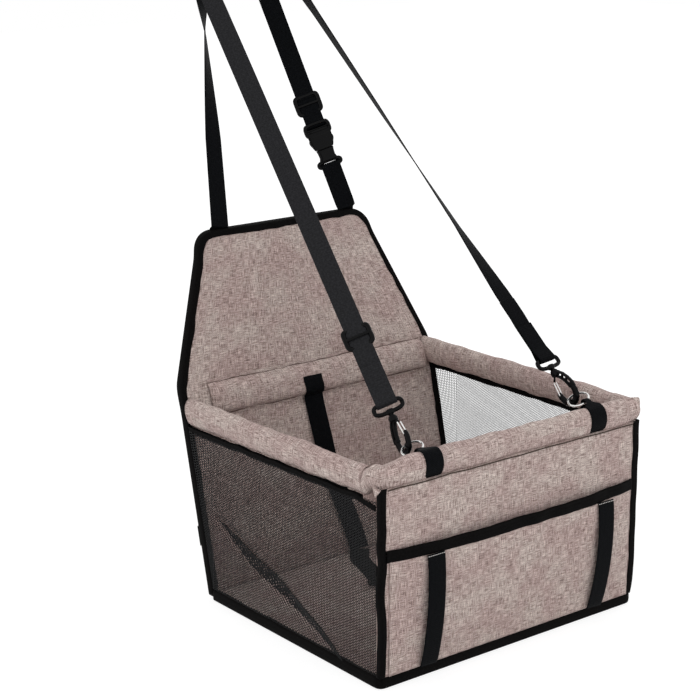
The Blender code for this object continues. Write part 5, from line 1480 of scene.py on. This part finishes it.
# %% Hooks
SHOULDER = 0.0330
HOOK_HALF = 0.0112
SPINE = (
    *((1.06, 0.00), (0.80, -0.62), (0.42, -1.00), (0.02, -0.92)),
    *((-0.20, -0.22), (-0.13, 0.62), (0.12, 1.02), (0.42, 1.08)),
)
BODY_RADII = ((0, 0.15, 0.5, 0.9, 0.97, 1), (0.0028, 0.0030, 0.0032, 0.0028, 0.0021, 0.0008))
GATE = ((0.0262, 0.72), (0.0100, 0.98))
SPINE_STEPS = 12
EYE_HALF_WIDTH = 0.0168
CORED_BARS = (5, 12, 18, 25)


def hook(word, ring, along, across, eye_side, eye_up, bodies):
    """All points are ring + a along + b across + c flat, with a and b read from the spine's list."""
    flat = np.cross(along, across)

    def at(a, b, c=0.0):
        """A point of the hook, from its three measures."""
        return ring + along * a + across * b + flat * c

    spine = smooth_path([at(a * SHOULDER, b * HOOK_HALF) for a, b in SPINE], SPINE_STEPS)
    _, face = framed(spine, flat)
    face = face * np.sign(face[30] @ (spine[30] - at(SHOULDER / 2, 0)))
    last = CORED_BARS[-1]
    cored = slice(0, last + 4)
    rails = [tube_grid(spine[cored] + face[cored] * off, 0.0028, flat, flat=0.58) for off in (-0.0030, 0.0030)]

    def spokes(places, reach, radius, squeeze):
        """Short bars that stand across the spine, one at each of the given points."""
        steps = reach[:, None]
        return [tube_grid(spine[k] + face[k] * steps, radius, flat, flat=squeeze, sides=10) for k in places]

    bars = spokes(CORED_BARS, np.linspace(-0.0026, 0.0048, 5), 0.0013, 1.5)
    ribs = spokes(range(last + 4, 52, 4), np.linspace(0.0, 0.0044, 4), 0.0011, 1.4)
    solid = spine[last:]
    body = tube_grid(solid, np.interp(np.linspace(0, 1, len(solid)), *BODY_RADII), flat, flat=1.35)
    ball = block_grid(at(-0.0034, 0.0066), (along, across, flat), (0.0104, 0.0100, 0.0074), 2.2)
    reach = np.array([-0.0022, -0.0014, 0.0, 0.0030, 0.0034, 0.0048, 0.0056, 0.0060])
    radii = np.array([0.0040, 0.0050, 0.0054, 0.0054, 0.0046, 0.0046, 0.0040, 0.0030])
    barrel = tube_grid(ring + along * (SHOULDER + reach)[:, None], radii, across, sides=28)
    high = at(GATE[0][0], GATE[0][1] * HOOK_HALF)
    lug = tube_grid(np.linspace(at(SHOULDER, 0.002), high + along * 0.001, 8), 0.0015, flat, flat=0.8, sides=12)
    gathered(f"{word}_hook_body", [*rails, *bars, *ribs, body, ball, barrel, lug], ACETAL, bodies[0], f"{word}_hook")

    wide = 0.0021
    (a0, b0), (a1, b1) = ((a, b * HOOK_HALF) for a, b in GATE)
    corners = [at(a0, b0, wide), at(a1, b1, wide), at(a1 - 0.0008, b1, 0.0), at(a1, b1, -wide), at(a0, b0, -wide)]
    gate = tube_grid(smooth_path(corners, 10), 0.0008, across, sides=12)
    gathered(f"{word}_gate_wire", [gate], NICKEL, bodies[1], f"{word}_gate")

    centre = ring + along * HOOK_REACH
    loop = oblong(centre, eye_side, EYE_HALF_WIDTH, along, EYE_HALF_HEIGHT, 0.6, (72, 96))
    eye = tube_grid(loop, EYE_BAR_R, eye_up, closed=True)
    boss = block_grid(centre - along * EYE_HALF_HEIGHT, (eye_side, along, eye_up), (0.0110, 0.0070, 0.0076), 2.6)
    stem_path = ring + along * np.linspace(SHOULDER + 0.0063, HOOK_REACH - EYE_HALF_HEIGHT, 6)[:, None]
    stem = tube_grid(stem_path, [0.0032, 0.0028, 0.0026, 0.0026, 0.0028, 0.0036], eye_side)
    gathered(f"{word}_eye_loop", [eye, boss, stem], ACETAL, bodies[2], f"{word}_eye")


for side, word in SIDES:
    eye, top, along = hook_line(side)
    eye_way = (a[0] for a in strap_frame(eye, top, FRONT_TWIST[side][0][1]))
    down = side * unit(-Z_AXIS + along * along[2])
    hook(f"front_{word}", RING_PLACE[side], along, down, *eye_way, (f"hook_{word}", f"gate_{word}", "front"))

tether_way = unit(np.array(route[-1]) - smooth_path(route, 4)[-2])
tether_eye = np.array(route[-1]) + tether_way * (WEB_THICK + EYE_BAR_R + SEAT_GAP + EYE_HALF_HEIGHT)
tether_eye[2] = BASE_TOP_Z + 0.0042 + 2 * SEAT_GAP
tether_across = np.cross(Z_AXIS, tether_way)
tether_ring = tether_eye + tether_way * HOOK_REACH
tether_bodies = ("tether_hook", "tether_gate", "base")
hook("tether", tether_ring, -tether_way, tether_across, tether_across, Z_AXIS, tether_bodies)

# %% [markdown]
# A steel ring joins each hook to a webbing tab, which goes round the front sleeve. The tab's outline is
# the convex outline round two shapes: the sleeve's oval and a small circle round the ring's wire. The
# rings are rolled by 26 degrees about their own depth, as they hang in the photograph.

# %% Rings and tabs
RING_R = 0.0125
RING_WIRE_R = 0.0014
RING_ROLL = math.radians(26)
TAB_NOSE_WIDTH = 0.0090


def outline_round(points):
    """The convex outline: points whose angle is extreme, found by keeping the largest reach in each direction."""
    ways = 2 * math.pi * np.arange(360) / 360
    towards = np.column_stack([np.cos(ways), np.sin(ways)])
    best = points[(points @ towards.T).argmax(axis=0)]
    keep = np.append(True, np.linalg.norm(np.diff(best, axis=0), axis=1) > 1e-7)
    return best[keep]


rolled = X_AXIS * math.cos(RING_ROLL) + Z_AXIS * math.sin(RING_ROLL)
grow = SEAT_GAP + WEB_THICK / 2
sagitta = RING_R - math.sqrt(RING_R**2 - (TAB_NOSE_WIDTH / 2) ** 2)
nose_r = RING_WIRE_R + sagitta + grow
for side, word in SIDES:
    c, s = circle(96)
    ring = RING_PLACE[side]
    wire = ring - Y_AXIS * RING_R + RING_R * (c[:, None] * rolled + s[:, None] * Y_AXIS)
    wire = tube_grid(wire, RING_WIRE_R, np.cross(rolled, Y_AXIS), closed=True)
    gathered(f"{word}_ring_wire", [wire], NICKEL, f"ring_{word}", f"ring_{word}")
    anchor = ring - Y_AXIS * 2 * RING_R
    round_trip = np.column_stack(circle(120))
    oval = round_trip * [SLEEVE_DEPTH / 2 + grow, FRONT_SLEEVE_HEIGHT / 2 + grow] + [SLEEVE_Y, FRONT_SLEEVE_Z]
    nose = nose_r * round_trip + [anchor[1] + sagitta / 2, anchor[2]]
    outline = resampled(outline_round(np.vstack([oval, nose])), 140)
    path = np.column_stack([np.full(140, anchor[0]), outline])
    away = np.hypot(outline[:, 0] - anchor[1], outline[:, 1] - anchor[2])
    narrow = np.clip((away - 1.4 * nose_r) / (2.2 * nose_r), 0, 1)
    widths = TAB_NOSE_WIDTH + (WEB_WIDTH - TAB_NOSE_WIDTH) * eased(narrow)
    ends = np.vstack([path[-1:], path, path[:1]])
    faces = np.cross(unit(ends[2:] - ends[:-2]), X_AXIS)
    tab = webbing(f"{word}_ring_tab_web", path, X_AXIS * (widths / WEB_WIDTH)[:, None], faces, closed=True)
    dress(tab, WEBBING, "front", f"ring_tab_{word}")

# %% [markdown]
# The sliders are frames with a bar across the middle, which the webbing bends over. One on the front left
# strap and one on the back right strap set their lengths.

# %% Sliders
SLIDER_WIDTH = 0.0340
SLIDER_LENGTH = 0.0270


def slider(name, start, end, reach, twists, body, node_name):
    """A rounded frame in front of the webbing, a thick rounded bar across its middle and a thin one behind."""
    degrees = np.interp(reach / np.linalg.norm(end - start), *zip(*twists))
    side, up = (a[0] for a in strap_frame(start, end, degrees))
    along = unit(end - start)
    centre = start + along * reach
    c, s = (rounded(a, 0.3) for a in circle(80))
    wide, tall = (SLIDER_WIDTH / 2 - 0.0019) * c, (SLIDER_LENGTH / 2 - 0.0019) * s
    level = 0.0020 * np.clip(1 - (np.abs(wide) / 0.0125) ** 6, -0.2, 1)
    loop = closed_path(centre + side * wide[:, None] + along * tall[:, None] + up * level[:, None], 120)
    rim = tube_grid(loop, 0.0025, up, closed=True, flat=1.15)
    x = np.linspace(-SLIDER_WIDTH / 2 + 0.0025, SLIDER_WIDTH / 2 - 0.0025, 16)
    bow = 0.0012 * np.clip(1 - (x / 0.0145) ** 4, 0, 1)
    over = tube_grid(centre + side * x[:, None] + up * (bow + 0.0022)[:, None], 0.0078, along, flat=0.36, sides=24)
    under = tube_grid(centre + side * x[:, None] - up * 0.0021, 0.0018, along, flat=0.7)
    return gathered(name, [rim, over, under], ACETAL, body, node_name)


eye, top, _ = hook_line(-1)
slider("front_slider_frame", eye, top, SPLIT, FRONT_TWIST[-1], "front_slider", "front_slider")
slider("back_slider_frame", right_start, right_end, BACK_SLIDER, BACK_TWIST[1], "back_slider", "back_slider")

# %% [markdown]
# The buckle's two moulded halves are built along the strap. The socket is two thin shells with walls at
# its end, so that the latches show at its sides, and a raised rim stiffens both of its faces.

# %% Buckle
BUCKLE_WIDTH = 0.0360
BUCKLE_THICK = 0.0110
buckle_axes = (buckle_side, right_along, buckle_up)


def buckle_block(x, reach, z, size, roundness=6.0):
    """A soft block at a distance along the strap."""
    return block_grid(right_start + right_along * reach + buckle_side * x + buckle_up * z, buckle_axes, size, roundness)


def moulded(reaches, half_widths, z, thick):
    """Flat superellipse rings along the strap: the half width is read from an outline, and both ends are rounded."""
    c, s = circle(40)
    across, deep = rounded(c, 0.3), rounded(s, 0.55)
    reach = np.linspace(reaches[0], reaches[-1], 34)
    wide = softened(np.interp(reach, reaches, half_widths)[:, None], 3)[:, 0]
    near = np.clip(np.minimum(reach - reach[0], reach[-1] - reach) / 0.0008, 0, 1)
    wide = wide - 0.0006 * (1 - near)
    high = thick / 2 * (0.55 + 0.45 * near)
    points = right_start + right_along * reach[:, None, None] + buckle_side * (wide[:, None] * across)[..., None]
    return points + buckle_up * (z + high[:, None] * deep)[..., None]


def window(low, high, half_width, r, squareness):
    """A closed tube round the place where the webbing passes through."""
    middle = right_start + right_along * (low + high) / 2
    half_length = (high - low) / 2 - r
    loop = oblong(middle, buckle_side, half_width - r, right_along, half_length, 2 / squareness, (90, 120))
    return tube_grid(loop, r, buckle_up, closed=True, flat=1.1)


WALL = 0.0022
LATCH_ROOM = 0.0218
LIP = 0.0016
SOCKET_REACH = (BUCKLE_SPLIT - LIP, BUCKLE_SPLIT + 0.003, BUCKLE_SPLIT + 0.010, BUCKLE_SPLIT + LATCH_ROOM)
SOCKET_HALF = (0.0122, 0.0142, 0.0154, 0.0158)
wall_z = BUCKLE_THICK / 2 - WALL / 2
socket = [moulded(SOCKET_REACH, SOCKET_HALF, z, WALL) for z in (wall_z, -wall_z)]
socket.append(buckle_block(0, BUCKLE_SPLIT + LATCH_ROOM + 0.0016, 0, (0.0330, 0.0042, BUCKLE_THICK), 4))
socket.append(window(BUCKLE_SPLIT + LATCH_ROOM + 0.0010, BUCKLE_END, 0.0172, BUCKLE_BAR_R, 5))
RAISED = 0.0036
raised_rim = window(BUCKLE_SPLIT + 0.0150, BUCKLE_END, 0.0180, 0.0021, 4)
socket.extend([raised_rim + buckle_up * RAISED, raised_rim - buckle_up * RAISED])
gathered("buckle_socket_shell", socket, ACETAL, "backrest", "buckle_socket")

PLUG_LOOP_END = BUCKLE_START + 0.0128
PLUG_REACH = (PLUG_LOOP_END - 0.0030, PLUG_LOOP_END + 0.003, BUCKLE_SPLIT - 0.006, BUCKLE_SPLIT - LIP - SEAT_GAP)
tongue = LATCH_ROOM - 0.0040
plug = [
    moulded(PLUG_REACH, (0.0128, 0.0106, 0.0110, 0.0120), 0, 0.0100),
    moulded((BUCKLE_SPLIT - 0.006, BUCKLE_SPLIT - 0.003, BUCKLE_SPLIT + 0.001), (0.0100, 0.0106, 0.0106), 0, 0.0058),
    window(BUCKLE_START, PLUG_LOOP_END, 0.0172, BUCKLE_BAR_R, 2.8),
    buckle_block(0, BUCKLE_SPLIT + tongue / 2 - 0.002, 0, (0.0042, tongue + 0.004, 0.0054)),
]
gathered("buckle_plug_body", plug, ACETAL, "buckle_plug", "buckle_plug")

for way, word in SIDES:
    inner_x, outer_x = way * (BUCKLE_WIDTH / 2 - 0.0067), way * (BUCKLE_WIDTH / 2 - 0.0026)
    reach = tongue - 0.0006
    route = [
        right_start + right_along * (BUCKLE_SPLIT + 0.0006 + share * reach) + buckle_side * x
        for share, x in ((0, inner_x), (0.55, outer_x), (1, inner_x))
    ]
    latch = tube_grid(smooth_path(route, 10), 0.00125, buckle_side, flat=2.1, sides=20)
    gathered(f"buckle_latch_{word}_finger", [latch], ACETAL, f"latch_{word}", f"buckle_latch_{word}")

# %% [markdown]
# The studio: a pale floor, a white backdrop that only the camera and reflections see, one large soft
# lamp above the camera's left shoulder and a weaker one at the right.

# %% Floor, backdrop and lamps
FLOOR_SIZE = 6.0


def studio_floor():
    """A square under the seat, white to the camera, that still takes the seat's soft shadow."""
    x, y = grid(-FLOOR_SIZE, FLOOR_SIZE, 2, -FLOOR_SIZE, FLOOR_SIZE, 2)
    floor = surface("studio_floor", np.stack([x, y, np.full_like(x, -0.0004)], axis=-1))
    made = bpy.data.materials.new("matt white studio paper")
    made.use_nodes = True
    tree = made.node_tree
    shader = tree.nodes["Principled BSDF"]
    shader.inputs["Base Color"].default_value = linear("#F4F4F4")
    shader.inputs["Roughness"].default_value = 0.9
    shader.inputs["Specular IOR Level"].default_value = 0.1
    path = add(tree, "ShaderNodeLightPath")
    seen = math_of(tree, "ADD", path.outputs["Is Camera Ray"], path.outputs["Is Glossy Ray"])
    seen = math_of(tree, "ADD", seen, path.outputs["Is Transmission Ray"])
    glow = add(tree, "ShaderNodeEmission", {"Color": (1, 1, 1, 1), "Strength": 1.32})
    share = math_of(tree, "MULTIPLY", seen, 0.6)
    both = add(tree, "ShaderNodeMixShader", {0: share, 1: shader.outputs[0], 2: glow.outputs[0]})
    tree.links.new(both.outputs[0], tree.nodes["Material Output"].inputs["Surface"])
    floor.data.materials.append(made)
    floor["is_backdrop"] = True


studio_floor()

world = bpy.data.worlds.new("studio")
bpy.context.scene.world = world
world.use_nodes = True
tree = world.node_tree
background = tree.nodes["Background"]
background.inputs["Color"].default_value = (1, 1, 1, 1)
path = add(tree, "ShaderNodeLightPath")
seen = math_of(tree, "ADD", path.outputs["Is Camera Ray"], path.outputs["Is Transmission Ray"])
strength = add(tree, "ShaderNodeMapRange", {"Value": seen, "To Min": 0.92, "To Max": 1.0})
tree.links.new(strength.outputs[0], background.inputs["Strength"])


def soft_lamp(name, place, aim, size, power):
    """A square lamp turned to face a point."""
    data = bpy.data.lights.new(name, "AREA")
    data.energy = power
    data.size = size
    lamp = bpy.data.objects.new(name, data)
    lamp.location = place
    way = np.array(aim, float) - place
    yaw = math.atan2(way[0], -way[1])
    lamp.rotation_euler = (math.atan2(math.hypot(way[0], way[1]), -way[2]), 0, yaw)
    bpy.context.scene.collection.objects.link(lamp)


soft_lamp("key lamp", (-1.5, -1.9, 2.3), (0, 0, 0.25), 1.6, 64)
soft_lamp("fill lamp", (1.9, -1.5, 1.3), (0, 0, 0.2), 1.6, 22)
bpy.context.scene.view_settings.view_transform = "Standard"
print("studio ready")

# %% Sizes and finish
dressed_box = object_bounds()
for word, box in (("frame", cad_box), ("dressed", dressed_box)):
    print(word, [round(float(b - a), 4) for a, b in zip(*box)])
